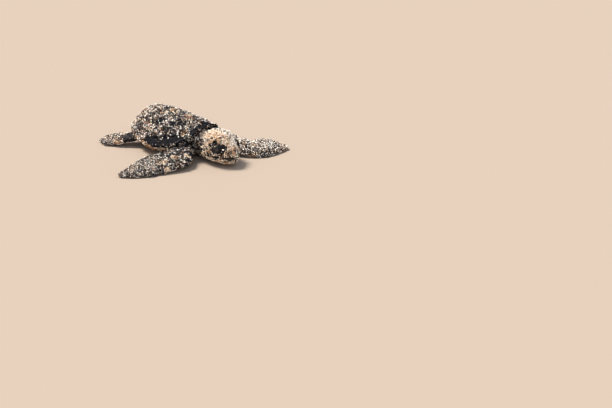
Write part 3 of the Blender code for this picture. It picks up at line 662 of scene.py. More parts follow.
    def at(self, points: np.ndarray) -> dict[str, np.ndarray]:
        """The coat at each point.

        Args:
            points: places in millimetres.

        Returns:
            Arrays named density, tone, warmth and crust.
        """
        places = np.stack(body_place(points), 1)
        ragged = 0.30 * ripples(points, 2.2, 11) + 0.22 * ripples(points, 0.9, 12)
        found = np.tile(np.array(self.plain), (len(points), 1))
        for spot in self.spots:
            away = np.linalg.norm((places - spot.place) / spot.reach, axis=1)
            weight = smooth_step(1.24, 0.78, away + 0.5 * ragged * np.minimum(1, 3 / min(spot.reach)))
            mix = np.array((spot.density, spot.tone, spot.warmth, spot.crust))
            found += weight[:, None] * (mix - found)
        patches = 0.10 * ripples(points, 3.2, 13)
        found[:, 0] += patches * (1 - found[:, 3])
        clumpy = self.clumpy(places)
        found[:, 0] += 0.22 * clumpy * ripples(points, 1.2, 18) * (1 - found[:, 3])
        found[:, 1] += 0.05 * ripples(points, 2.6, 14)
        found[:, 1] += 0.14 * clumpy * ripples(points, 1.0, 19) * (1 - 0.7 * found[:, 3])
        found[:, 2] += 0.16 * ripples(points, 2.0, 15)
        found[:, [0, 3]] *= self.rubbed(points)[:, None]
        found = np.clip(found, 0, (1, 1.2, 1.4, 1))
        return dict(zip(("density", "tone", "warmth", "crust"), found.T))

    def clumpy(self, places: np.ndarray) -> np.ndarray:
        """1 where the sand sits in small clumps, and 0 elsewhere; places are forward, right and up."""
        away = [np.linalg.norm((places - place) / reach, axis=1) for place, reach in self.clumps]
        return smooth_step(1.1, 0.8, np.minimum(*away))

    def rubbed(self, points: np.ndarray) -> np.ndarray:
        """1 where sand may stick, falling to 0 on the lids and along the mouth, which keep moving.

        Args:
            points: places in millimetres.

        Returns:
            One share for each point.
        """
        kept = np.ones(len(points))
        for centre, _ in EYES.values():
            away = np.linalg.norm(points - centre, axis=1)
            stuck = np.clip(0.12 + 0.22 * ripples(points, 1.1, 20), 0.04, 0.5)
            kept *= stuck + (1 - stuck) * smooth_step(EYE_RADIUS + 0.2, EYE_RADIUS + 0.9, away)
        along, side, up = HEAD.measure(points)
        gape = np.abs(up - HEAD.mouth_line(along)) + 0.4 * ripples(points, 1.2, 16)
        mouth = np.clip(0.7 + 0.6 * ripples(points, 2.4, 17), 0.1, 0.9)
        mouth *= smooth_step(0.65, 0.30, gape)
        mouth *= smooth_step(7.8, 9.6, along)
        return kept * (1 - mouth * (np.abs(side) < self.cheek))


COVER = SandCover()


# ---------------------------------------------------------------- finishes


@dataclass(frozen=True)
class SandedFinish:
    """A dark animal surface with fine sand caked in its hollows.

    The material is the surface's own colour, mottled, under speckles of fine damp sand. Where the crust value
    is high the caked sand hides it. A seam value of 1 lies in a groove, where dust stays.
    """

    name: str
    dark: str
    light: str
    groove: str
    roughness: float
    mottle_mm: float
    pebble_mm: float
    pebble_height: float  # metres
    specular: float = 0.5
    sand_dark: str = "#947055"
    sand_mid: str = "#d4ae8a"
    sand_pale: str = "#f4dfc6"
    sand_roughness: float = 0.92
    grit_mm: float = 0.16  # the caked sand's grit, in three tones, so that it reads as sand and not as paint
    speck_mm: float = 0.42  # the width of the gaps and specks at the crust's ragged edge
    crust_height: float = 0.9  # how far the crust stands up, as a share of a pebble's height

    def material(self) -> bpy.types.Material:
        """Builds the material.

        Returns:
            The material.
        """
        made, tree, shader = new_material(self.name)
        place = {"Vector": add_node(tree, "ShaderNodeTexCoord").outputs["Object"]}
        own = self.own_colour(tree, place)
        sand = self.sand_colour(tree, place)
        edge = self.sand_edge(tree, place)
        colour = add_node(tree, "ShaderNodeMix", {"data_type": "RGBA"}, {0: edge, 6: own, 7: sand})
        ends = {"To Min": self.roughness, "To Max": self.sand_roughness}
        rough = add_node(tree, "ShaderNodeMapRange", ends, {"Value": edge})
        pebbles = add_node(tree, "ShaderNodeTexVoronoi", {"Scale": per_mm(self.pebble_mm)}, place)
        relief = add_node(
            tree,
            "ShaderNodeMath",
            {"operation": "MULTIPLY_ADD", 1: self.crust_height},
            {0: edge, 2: pebbles.outputs["Distance"]},
        )
        bump = add_node(
            tree,
            "ShaderNodeBump",
            {"Strength": 0.8, "Distance": self.pebble_height},
            {"Height": relief.outputs["Value"]},
        )
        fed = {
            "Base Color": colour.outputs[2],
            "Roughness": rough.outputs["Result"],
            "Normal": bump.outputs["Normal"],
        }
        set_node(shader, {"Specular IOR Level": self.specular}, fed)
        return made

    def own_colour(
        self, tree: bpy.types.NodeTree, place: Mapping[Any, bpy.types.NodeSocket]
    ) -> bpy.types.NodeSocket:
        """The surface's own mottled colour, with dust in its grooves.

        Args:
            tree: the material's tree.
            place: the link that gives a texture its place.

        Returns:
            The colour.
        """
        grain = {"Scale": per_mm(self.mottle_mm), "Detail": 4.0, "Roughness": 0.65}
        mottle = add_node(tree, "ShaderNodeTexNoise", grain, place)
        stops = ((0.35, self.dark), (0.68, self.light))
        own = add_node(tree, "ShaderNodeValToRGB", {"stops": stops}, {"Fac": mottle.outputs["Fac"]})
        seam = add_node(tree, "ShaderNodeAttribute", {"attribute_name": "seam"})
        return add_node(
            tree,
            "ShaderNodeMix",
            {"data_type": "RGBA", 7: linear(self.groove)},
            {0: seam.outputs["Fac"], 6: own.outputs["Color"]},
        ).outputs[2]

    def sand_colour(
        self, tree: bpy.types.NodeTree, place: Mapping[Any, bpy.types.NodeSocket]
    ) -> bpy.types.NodeSocket:
        """The caked sand's colour, grit by grit.

        Args:
            tree: the material's tree.
            place: the link that gives a texture its place.

        Returns:
            The colour.
        """
        grit = add_node(tree, "ShaderNodeTexVoronoi", {"Scale": per_mm(self.grit_mm)}, place)
        stops = ((0.1, self.sand_dark), (0.45, self.sand_mid), (0.9, self.sand_pale))
        sand = add_node(tree, "ShaderNodeValToRGB", {"stops": stops}, {"Fac": grit.outputs["Color"]})
        return sand.outputs["Color"]

    def sand_edge(
        self, tree: bpy.types.NodeTree, place: Mapping[Any, bpy.types.NodeSocket]
    ) -> bpy.types.NodeSocket:
        """Where the caked sand lies, which starts in a noise's peaks, so that a thin crust gives only specks.

        Args:
            tree: the material's tree.
            place: the link that gives a texture its place.

        Returns:
            1 under the caked sand and 0 beside it.
        """
        crust = add_node(tree, "ShaderNodeAttribute", {"attribute_name": "crust"})
        grain = {"Scale": per_mm(self.speck_mm), "Detail": 3.0, "Roughness": 0.7}
        ragged = add_node(tree, "ShaderNodeTexNoise", grain, place)
        lifted = add_node(
            tree,
            "ShaderNodeMath",
            {"operation": "MULTIPLY_ADD", 1: 0.85},
            {0: crust.outputs["Fac"], 2: ragged.outputs["Fac"]},
        )
        return add_node(
            tree,
            "ShaderNodeMapRange",
            {"From Min": 0.66, "From Max": 0.84, "interpolation_type": "SMOOTHSTEP"},
            {"Value": lifted.outputs["Value"]},
        ).outputs["Result"]


@dataclass(frozen=True)
class SandGrains:
    """Beach sand: sub-angular quartz, feldspar, shell and dark mineral grains, each one matt and of one tone.

    A grain's tone runs from black mineral to white quartz, and its warmth from grey to amber.
    """

    name: str = "beach_sand_grains"
    cool: tuple[tuple[float, str], ...] = (
        (0.0, "#0e0f15"),
        (0.2, "#2e2f39"),
        (0.4, "#706e72"),
        (0.6, "#b2aca8"),
        (0.8, "#e1dbd4"),
        (1.0, "#fefaf4"),
    )
    warm: tuple[tuple[float, str], ...] = (
        (0.0, "#1c110e"),
        (0.2, "#55392c"),
        (0.4, "#9a6d4f"),
        (0.6, "#d3a378"),
        (0.8, "#f3d0a6"),
        (1.0, "#fff0d8"),
    )
    roughness: float = 0.55
    specular: float = 0.45
    vein_mm: float = 0.12  # veins and pits inside each grain
    vein_depth: float = 0.12  # how much of the tone's range they take

    def material(self) -> bpy.types.Material:
        """Builds the material.

        Returns:
            The material.
        """
        made, tree, shader = new_material(self.name)
        tone = add_node(tree, "ShaderNodeAttribute", {"attribute_name": "tone"})
        warmth = add_node(tree, "ShaderNodeAttribute", {"attribute_name": "warmth"})
        place = {"Vector": add_node(tree, "ShaderNodeTexCoord").outputs["Object"]}
        veins = add_node(tree, "ShaderNodeTexNoise", {"Scale": per_mm(self.vein_mm)}, place)
        shifted = add_node(
            tree,
            "ShaderNodeMath",
            {"operation": "MULTIPLY_ADD", 1: self.vein_depth},
            {0: veins.outputs["Fac"], 2: tone.outputs["Fac"]},
        )
        level = add_node(
            tree,
            "ShaderNodeMath",
            {"operation": "SUBTRACT", 1: self.vein_depth / 2},
            {0: shifted.outputs["Value"]},
        )
        ramps = [
            add_node(tree, "ShaderNodeValToRGB", {"stops": stops}, {"Fac": level.outputs["Value"]})
            for stops in (self.cool, self.warm)
        ]
        colour = add_node(
            tree,
            "ShaderNodeMix",
            {"data_type": "RGBA"},
            {0: warmth.outputs["Fac"], 6: ramps[0].outputs["Color"], 7: ramps[1].outputs["Color"]},
        )
        settings = {"Roughness": self.roughness, "Specular IOR Level": self.specular}
        set_node(shader, settings, {"Base Color": colour.outputs[2]})
        return made


@dataclass(frozen=True)
class WetEye:
    """An eye of a sea turtle: a black pupil in an iris nearly as dark, under a wet, clear cornea.

    The tear film makes it the one glossy thing on the animal.
    """

    name: str = "wet_eye"
    pupil: str = "#030303"
    iris: str = "#1d130d"
    rim: str = "#080606"
    roughness: float = 0.12
    film: float = 1.0
    film_roughness: float = 0.03
    ior: float = 1.38  # the cornea's
    fibre_mm: float = 0.3  # the iris's fibres

    def material(self) -> bpy.types.Material:
        """Builds the material.

        Returns:
            The material.
        """
        made, tree, shader = new_material(self.name)
        angle = add_node(tree, "ShaderNodeAttribute", {"attribute_name": "from_pupil"})
        place = {"Vector": add_node(tree, "ShaderNodeTexCoord").outputs["Object"]}
        fibres = add_node(tree, "ShaderNodeTexNoise", {"Scale": per_mm(self.fibre_mm)}, place)
        wavy = add_node(
            tree,
            "ShaderNodeMath",
            {"operation": "MULTIPLY_ADD", 1: 0.06},
            {0: fibres.outputs["Fac"], 2: angle.outputs["Fac"]},
        )
        stops = ((0.42, self.pupil), (0.5, self.iris), (0.68, self.iris), (0.82, self.rim))
        rings = add_node(tree, "ShaderNodeValToRGB", {"stops": stops}, {"Fac": wavy.outputs["Value"]})
        settings = {
            "Roughness": self.roughness,
            "Coat Weight": self.film,
            "Coat Roughness": self.film_roughness,
            "IOR": self.ior,
        }
        set_node(shader, settings, {"Base Color": rings.outputs["Color"]})
        return made


# Dry scaly skin: nearly black and matt, a shade browner in the creases.
HIDE_FINISH = SandedFinish(
    name="scaly_hide",
    dark="#08090d",
    light="#1a1a21",
    groove="#25211e",
    roughness=0.5,
    mottle_mm=1.6,
    pebble_mm=0.34,
    pebble_height=6e-5,
    specular=0.2,
)
# Young keratin of the back: near-black and dull, with hardly any shine; its blue cast is a painted reflection
# of the sky on wet keratin.
CARAPACE_FINISH = SandedFinish(
    name="carapace_keratin",
    dark="#03040a",
    light="#0b0f1a",
    groove="#151414",
    roughness=0.62,
    mottle_mm=2.2,
    pebble_mm=0.5,
    pebble_height=5e-5,
    specular=0.08,
)
# Keratin of the belly: horn brown, much paler than the back, and matt.
PLASTRON_FINISH = SandedFinish(
    name="plastron_keratin",
    dark="#5b4936",
    light="#9a8161",
    groove="#3a3029",
    roughness=0.5,
    mottle_mm=2.4,
    pebble_mm=0.6,
    pebble_height=3e-5,
)
# Horn of the beak and claws: dark brown, harder and smoother than the skin, so that it catches some light.
HORN_FINISH = SandedFinish(
    name="beak_horn",
    dark="#1b1817",
    light="#3a312c",
    groove="#181514",
    roughness=0.36,
    mottle_mm=0.9,
    pebble_mm=0.45,
    pebble_height=2e-5,
)


# ---------------------------------------------------------------- hide


@dataclass
class Hide:
    """The one skin over head, neck, trunk, tail and limbs, with its scales, folds, lids and mouth."""

    voxel: float = 0.26
    grow: float = 0.2
    coat: float = 0.45  # how deep the skin lies under the ends of the grains
    thin_coat: float = 0.27  # the same where the flesh is thin, as a share of its thickness
    floor_gap: float = 0.15
    scale_rise: float = 0.10
    groove_depth: float = 0.12
    groove_width: float = 0.12
    neck_crease: float = 1.5  # from one crease to the next
    limb_crease: float = 1.35
    eye_opening: tuple[float, float] = (0.80, 0.60)  # ahead and up, as shares of the distance outwards
    socket_depth: float = 0.4  # how far behind the eye's surface the skin passes inside the opening
    flesh: tuple[str, ...] = (
        "head",
        "lower_jaw",
        "neck",
        "trunk",
        "tail",
        *(f"flipper_front_{side}_{part}" for side in ("left", "right") for part in ("arm", "blade")),
        *(f"flipper_hind_{side}_{part}" for side in ("left", "right") for part in ("thigh", "paddle")),
    )
    # head shields on the right side, along, to the side and up; each is mirrored
    shields: tuple[tuple[float, float, float], ...] = (
        (3.0, 0.0, 13.8),
        (8.6, 0.0, 15.0),
        (12.7, 0.0, 13.7),
        (16.2, 0.0, 11.3),
        (14.9, 1.9, 12.0),
        (17.2, 1.7, 10.0),
        (12.2, 3.4, 13.2),
        (4.9, 3.2, 14.0),
        (1.6, 3.0, 12.4),
        (9.2, 5.0, 12.6),
        (9.4, 7.0, 9.6),
        (9.3, 7.6, 6.6),
        (6.2, 6.2, 11.6),
        (6.1, 7.6, 8.8),
        (6.0, 7.6, 6.0),
        (3.1, 5.6, 11.0),
        (2.8, 6.8, 8.0),
        (3.0, 6.6, 5.2),
        (8.6, 6.8, 3.6),
        (12.0, 6.6, 4.6),
        (15.2, 5.0, 8.0),
    )
    surface: Surface | None = None

    def shape(self) -> Surface:
        """Wraps the flesh, lowers the skin under the coat and sculpts it.

        Returns:
            The finished skin.
        """
        solids = [solid_of(node) for node in (*self.flesh, "beak_upper", "beak_lower")]
        solids += [ball_of(centre, EYE_RADIUS + CLEARANCE) for centre, _ in EYES.values()]
        skin = Surface.wrapped(solids, self.voxel, self.grow)
        skin.smooth(9)
        room = skin.thickness() - 2 * self.grow
        depth = np.clip(self.thin_coat * room, 0.04, self.coat)
        skin.move(-self.grow - skin.softened(depth, 6))
        skin.smooth(2)
        along, side, _ = HEAD.measure(skin.points)
        skin.refine((along > -1.5) & (np.abs(side) < 9.5))
        for reach in (3.6, 3.2):
            near = np.zeros(len(skin.points), bool)
            for centre, _ in EYES.values():
                near |= np.linalg.norm(skin.points - centre, axis=1) < reach
            skin.refine(near)
        skin.smooth(2)
        self.surface = skin
        self.sculpt_scales()
        self.sculpt_folds()
        self.sculpt_mouth()
        for centre, hand in EYES.values():
            self.sculpt_lids(centre, hand)
        skin.points[:, 2] = np.maximum(skin.points[:, 2], self.floor_gap)
        crust = COVER.at(skin.points)["crust"]
        skin.move(0.14 * crust * ripples(skin.points, 1.7, 51))
        skin.values["crust"] = crust
        skin.values["bare"] = 0.3 * skin.values["seam"]
        return skin

    def scale_seeds(self) -> np.ndarray:
        """The middles of the scales: shields on the head, and smaller ones everywhere else.

        Returns:
            One row for each scale.
        """
        fixed = [HEAD.point(a, hand * s, u) for a, s, u in self.shields for hand in ((1, -1) if s else (1,))]
        points = self.surface.points
        along, side, up = HEAD.measure(points)
        right = body_place(points)[1]
        spacing = np.select([np.abs(right) > 24, np.abs(right) > 9], [1.6, 1.25], 0.85)
        on_head = (along > 0) & (np.abs(side) < 9) & (up > 3.2)
        random = np.random.default_rng(5)
        grid: dict[tuple[int, int, int], list[np.ndarray]] = {}
        seeds = list(fixed)
        for k in random.choice(len(points), 26000, replace=False):
            if on_head[k]:
                continue
            spot = points[k]
            cell = tuple((spot // 1.7).astype(int))
            around = (
                other
                for dx in (-1, 0, 1)
                for dy in (-1, 0, 1)
                for dz in (-1, 0, 1)
                for other in grid.get((cell[0] + dx, cell[1] + dy, cell[2] + dz), ())
            )
            if all(np.sum((other - spot) ** 2) > spacing[k] ** 2 for other in around):
                grid.setdefault(cell, []).append(spot)
                seeds.append(spot)
        return np.array(seeds)

    def sculpt_scales(self) -> None:
        """Raises each scale a little and leaves a groove where two meet."""
        seeds = self.scale_seeds()
        tree = KDTree(len(seeds))
        for k, seed in enumerate(seeds):
            tree.insert(seed, k)
        tree.balance()
        pairs = [tree.find_n(point, 2) for point in self.surface.points.tolist()]
        near = np.array([[pair[0][2], pair[1][2]] for pair in pairs])
        which = np.array([[pair[0][1], pair[1][1]] for pair in pairs])
        apart = np.linalg.norm(seeds[which[:, 0]] - seeds[which[:, 1]], axis=1)
        edge = (near[:, 1] ** 2 - near[:, 0] ** 2) / (2 * np.maximum(apart, 0.1))
        large = smooth_step(1.2, 2.4, apart)
        groove = np.exp(-((edge / (self.groove_width + 0.06 * large)) ** 2))
        pillow = 1 - np.exp(-edge / 0.4)
        rise = (self.scale_rise + 0.10 * large) * pillow
        self.surface.move(rise - (self.groove_depth + 0.14 * large) * groove)
        self.surface.values["seam"] = groove

    def sculpt_folds(self) -> None:
        """Creases the skin of the neck, shoulders and hips, across each one's bending."""
        points = self.surface.points
        forward, right, _ = body_place(points)
        bent = points + 0.5 * np.stack([ripples(points, 3.0, seed) for seed in (21, 22, 23)], 1)
        bent_forward, bent_right, _ = body_place(bent)
        neck = smooth_step(24.5, 22.5, forward) * smooth_step(10, 8, np.abs(right)) * (forward > 12)
        creases = neck * np.sin(2 * math.pi * bent_forward / self.neck_crease)
        for root_forward, root_right, span in ((14, 11.5, 9.0), (-13, 9.5, 6.5)):
            away = np.hypot(forward - root_forward, np.abs(right) - root_right)
            bent_away = np.hypot(bent_forward - root_forward, np.abs(bent_right) - root_right)
            near = smooth_step(span, span - 4, away) * (1 - neck)
            creases = creases + near * np.sin(2 * math.pi * bent_away / self.limb_crease)
        self.surface.move(0.10 * creases - 0.16 * np.maximum(creases, 0) ** 3)

    def sculpt_mouth(self) -> None:
        """Cuts the line between the jaws, back from the beak to the cheek."""
        along, _, up = HEAD.measure(self.surface.points)
        line = HEAD.mouth_line(along)
        reach = smooth_step(7.2, 8.4, along) * (along < HEAD.beak + 2)
        cut = reach * np.exp(-(((up - line) / 0.17) ** 2))
        lips = reach * np.exp(-(((up - line) / 0.55) ** 2))
        self.surface.move(0.16 * lips - 0.55 * cut)
        self.surface.values["seam"] *= 1 - cut

    def sculpt_lids(self, centre: np.ndarray, hand: int) -> None:
        """Opens the skin over an eye and rolls two creased lids round the opening.

        Args:
            centre: the eye's middle.
            hand: 1 on the animal's right and -1 on its left.
        """
        outward = HEAD.direction(0.26, hand * 0.93, 0.22)
        ahead = HEAD.direction(1, 0, -0.16)
        ahead = unit(ahead - outward * (ahead @ outward))
        upward = np.cross(outward, ahead) * hand
        away = self.surface.points - centre
        distance = np.linalg.norm(away, axis=1)
        facing = away @ outward / np.maximum(distance, 1e-6)
        near = (distance < 4.2) & (facing > 0.05)
        beam = away[near] / distance[near, None]
        a, b = beam @ ahead, beam @ upward
        wide, high = self.eye_opening
        opening = (np.abs(a / wide) ** 1.8 + np.abs(b / high) ** 1.8) ** (1 / 1.8)
        # two creases, at 1.32 and 1.52 times the opening, and an upper lid that stands further out
        roll = EYE_RADIUS + 0.30 - 0.10 * np.exp(-(((opening - 1.32) / 0.07) ** 2))
        roll = roll - 0.08 * np.exp(-(((opening - 1.52) / 0.06) ** 2)) + 0.06 * (b > 0)
        blend = smooth_step(0.93, 1.03, opening)
        shape = (EYE_RADIUS - self.socket_depth) * (1 - blend) + roll * blend
        weight = smooth_step(1.95, 1.45, opening / np.maximum(facing[near], 0.2) ** 0.5)
        radius = distance[near] * (1 - weight) + shape * weight
        self.surface.points[near] = centre + beam * radius[:, None]
        self.surface.values["seam"][near] *= 1 - weight

    def dress(self) -> None:
        """Makes the piece."""
        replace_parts(self.surface.object("skin", HIDE_FINISH.material(), Slot.HIDE), *self.flesh)


# ---------------------------------------------------------------- shell, horn, eyes


@dataclass
class Plates:
    """The horny plates over the back and belly, each one its own piece."""

    voxel: float = 0.24
    coat: float = 0.38
    spread: float = 0.09  # how far each plate's sides close the gap to its neighbours
    swept: float = 0.55  # share of the grains that a seam sheds
    seam_width: float = 0.16
    seam_depth: float = 0.24
    bridge_plate: float = 4.1  # length of each small plate along the bridges
    surfaces: dict[str, Surface] = field(default_factory=dict)

    def shape(self) -> dict[str, Surface]:
        """Shapes every plate from its solid.

        Returns:
            The plates by the names of their nodes.
        """
        for node in sorted(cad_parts):
            if node.startswith(("carapace_", "plastron_")):
                self.surfaces[node] = self.shape_plate(node)
        return self.surfaces

    def shape_plate(self, node: str) -> Surface:
        """One plate, with rounded edges, seams and fine wrinkles.

        Args:
            node: the name of its solid.

        Returns:
            Its surface, with the values that its finish and the grains read.
        """
        plate = Surface.wrapped([solid_of(node)], self.voxel, self.spread)
        plate.smooth(5)
        belly = node.startswith("plastron_")
        normals = plate.normals()
        outer = -normals[:, 2] if belly else normals[:, 2]
        if node.startswith(("carapace_rim", "carapace_nuchal", "carapace_supra")):
            outer = np.maximum(outer, (normals * unit(plate.points * (1, 1, 0))).sum(1))
        facing = plate.softened(smooth_step(0.25, 0.75, outer), 2)
        depth = facing * (self.spread + self.coat * (0.3 if belly else 1.0))
        plate.points = plate.points - normals * depth[:, None]
        seam = self.seams(node, plate.points)
        wrinkles = 0.035 * ripples(plate.points, 0.5, 31, 30) + 0.03 * ripples(plate.points, 1.1, 32)
        plate.points = plate.points + normals * (facing * (wrinkles - self.seam_depth * seam))[:, None]
        plate.values["seam"] = seam * facing
        plate.values["bare"] = self.swept * np.maximum(seam, 1 - facing) * smooth_step(0.0, 0.3, outer)
        plate.values["crust"] = COVER.at(plate.points)["crust"]
        if belly:
            plate.points[:, 2] = np.maximum(plate.points[:, 2], 0.06)
        return plate

    def seams(self, node: str, points: np.ndarray) -> np.ndarray:
        """How deep each point lies in a seam that runs inside this solid, from 0 to 1.

        Args:
            node: the solid's name.
            points: places in millimetres.

        Returns:
            One value for each point.
        """
        forward, right, _ = body_place(points)
        if node.startswith("carapace_rim"):
            away = SHELL.rim_seam(points)
        elif node.startswith("plastron_bridge"):
            away = np.abs((forward + 40) % self.bridge_plate - self.bridge_plate / 2)
        elif node.startswith("plastron_"):
            away = np.abs(right - 0.25 * np.sin(forward / 2.5))
        else:
            return np.zeros(len(points))
        return np.exp(-((away / self.seam_width) ** 2))

    def dress(self) -> None:
        """Makes the pieces."""
        finishes = {
            "carapace": (CARAPACE_FINISH.material(), Slot.SHELL),
            "plastron": (PLASTRON_FINISH.material(), Slot.PLASTRON),
        }
        for node, surface in self.surfaces.items():
            finish, slot = finishes[node.split("_")[0]]
            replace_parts(surface.object(f"plate_{node}", finish, slot), node)


@dataclass
class Beak:
    """The horny edge of both jaws, with the nostrils above the upper one."""

    voxel: float = 0.15
    coat: float = 0.22
    surfaces: dict[str, Surface] = field(default_factory=dict)

    def shape(self) -> dict[str, Surface]:
        """Shapes both halves from their solids.

        Returns:
            The halves by the names of their nodes.
        """
        for node in ("beak_upper", "beak_lower"):
            horn = Surface.wrapped([solid_of(node)], self.voxel, 0.06)
            horn.smooth(6)
            along, side, up = HEAD.measure(horn.points)
            normals = horn.normals()
            outer = smooth_step(0.1, 0.6, unit(normals * (1, 1, 0.6)) @ HEAD.direction(1, 0, 0))
            outer = np.maximum(outer, smooth_step(0.35, 0.8, np.abs(normals @ HEAD.direction(0, 1, 0))))
            ragged = 0.4 * ripples(horn.points, 2.2, 42) + 0.12 * ripples(horn.points, 0.8, 43)
            back_edge = (ragged - 0.25) * smooth_step(17.2, 15.9, along)
            horn.points = horn.points + np.outer(back_edge, HEAD.direction(1, 0, 0))
            horn.points[:, 2] += 0.7 * ragged * smooth_step(7.8, 8.6, up)
            grooves = 0.03 * np.sin(side * 9 + 1.5 * ripples(horn.points, 2, 41))
            move = -self.coat * outer + grooves * outer
            if node == "beak_upper":
                for hand in (1, -1):
                    away = np.hypot((side - hand * 0.85) / 0.30, (up - 7.3) / 0.24)
                    move = move - 0.7 * np.exp(-(away**2)) * (along > 17)
            horn.points = horn.points + normals * move[:, None]
            horn.values["seam"] = horn.values["bare"] = np.zeros(len(horn.points))
            edge = np.maximum(smooth_step(16.5, 16.0, along), smooth_step(8.1, 8.5, up))
            horn.values["crust"] = np.maximum(COVER.at(horn.points)["crust"], 0.35 * edge)
            self.surfaces[node] = horn
        return self.surfaces

    def dress(self) -> None:
        """Makes the pieces."""
        finish = HORN_FINISH.material()
        for node, surface in self.surfaces.items():
            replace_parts(surface.object(f"horn_{node}", finish, Slot.HORN), node)


@dataclass
class Claws:
    """The two small claws on each flipper's leading edge."""

    radius: float = 0.46
    sunk: float = 0.9  # how far the root reaches into the flipper
    droop: float = 0.28  # how far the tip bends down
    sides: int = 14
    rings: int = 14

    def dress(self) -> None:
        """Makes each claw as a bent cone along its solid."""
        finish = HORN_FINISH.material()
        for node in sorted(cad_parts):
            if node.startswith("claw_"):
                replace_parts(self.cone(node).object(f"horn_{node}", finish, Slot.HORN), node)

    def cone(self, node: str) -> Surface:
        """A claw's surface, from inside the flipper out to the solid's tip.

        Args:
            node: the name of its solid.

        Returns:
            The surface, which narrows to a pinhole at both ends.
        """
        solid = solid_of(node)
        points = np.array([vert.co for vert in solid.verts])
        solid.free()
        middle = points.mean(0)
        # the solid's corners crowd together at its tip
        apart = np.linalg.norm(points[:, None] - points[None], axis=2)
        tip = points[(apart < 0.25).sum(1).argmax()]
        lean = unit(tip - middle)
        reach = (tip - middle) @ lean + 0.1
        across = unit(np.cross(lean, (0, 0, 1)))
        other = np.cross(lean, across)
        start = ((points - middle) @ lean).min() - self.sunk
        corners = []
        for share in np.linspace(0, 1, self.rings):
            radius = self.radius * min(1, 0.05 + share * 8) * max((1 - share) ** 0.6, 0.04)
            centre = middle + lean * (start + (reach - start) * share)
            centre = centre + np.array((0, 0, self.droop * (0.25 - share**3)))
            for angle in np.arange(self.sides) * 2 * math.pi / self.sides:
                corners.append(centre + radius * (across * math.cos(angle) + 0.8 * other * math.sin(angle)))
        here = np.arange(self.sides * (self.rings - 1)).reshape(-1, self.sides)
        beside = np.roll(here, -1, 1)
        faces = np.stack([here, beside, beside + self.sides, here + self.sides], -1).reshape(-1, 4)
        made = Surface(np.array(corners), faces)
        made.points[:, 2] = np.maximum(made.points[:, 2], 0.05)
        made.values = {"seam": np.zeros(len(corners)), "crust": np.zeros(len(corners))}
        return made


@dataclass
class Eyeballs:
    """The two eyes, with a slightly raised cornea."""

    segments: int = 40
    rings: int = 28
    bulge: float = 0.05  # the cornea's height over the ball

    def dress(self) -> None:
        """Makes both eyes where their solids are."""
        finish = WetEye().material()
        for word, (centre, hand) in EYES.items():
            outward = HEAD.direction(0.24, hand * 0.95, 0.16)
            ball = bmesh.new()
            bmesh.ops.create_uvsphere(ball, u_segments=self.segments, v_segments=self.rings, radius=1.0)
            points = np.array([vert.co for vert in ball.verts])
            faces = [[vert.index for vert in face.verts] for face in ball.faces]
            ball.free()
            angle = np.arccos(np.clip(points @ outward, -1, 1))
            cornea = self.bulge * smooth_step(0.75, 0.35, angle)
            scaled = points * (EYE_RADIUS - 0.02 + cornea)[:, None]
            quads = [face if len(face) == 4 else [*face, face[2]] for face in faces]
            eye = Surface(centre + scaled, np.array(quads), {"from_pupil": angle / 1.2})
            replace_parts(eye.object(f"eyeball_{word}", finish, Slot.EYE), f"eye_{word}")


# ---------------------------------------------------------------- sand


@dataclass(frozen=True)
class Sowing:
    """One range of grain sizes, thrown at the animal all at once."""

    tries: int
    middle: float  # most grains are near this wide
    spread: float
    smallest: float
    largest: float

    def sizes(self, random: np.random.Generator) -> np.ndarray:
        """How wide each grain thrown is."""
        drawn = self.middle * np.exp(random.normal(0, self.spread, self.tries))
        return np.clip(drawn, self.smallest, self.largest)


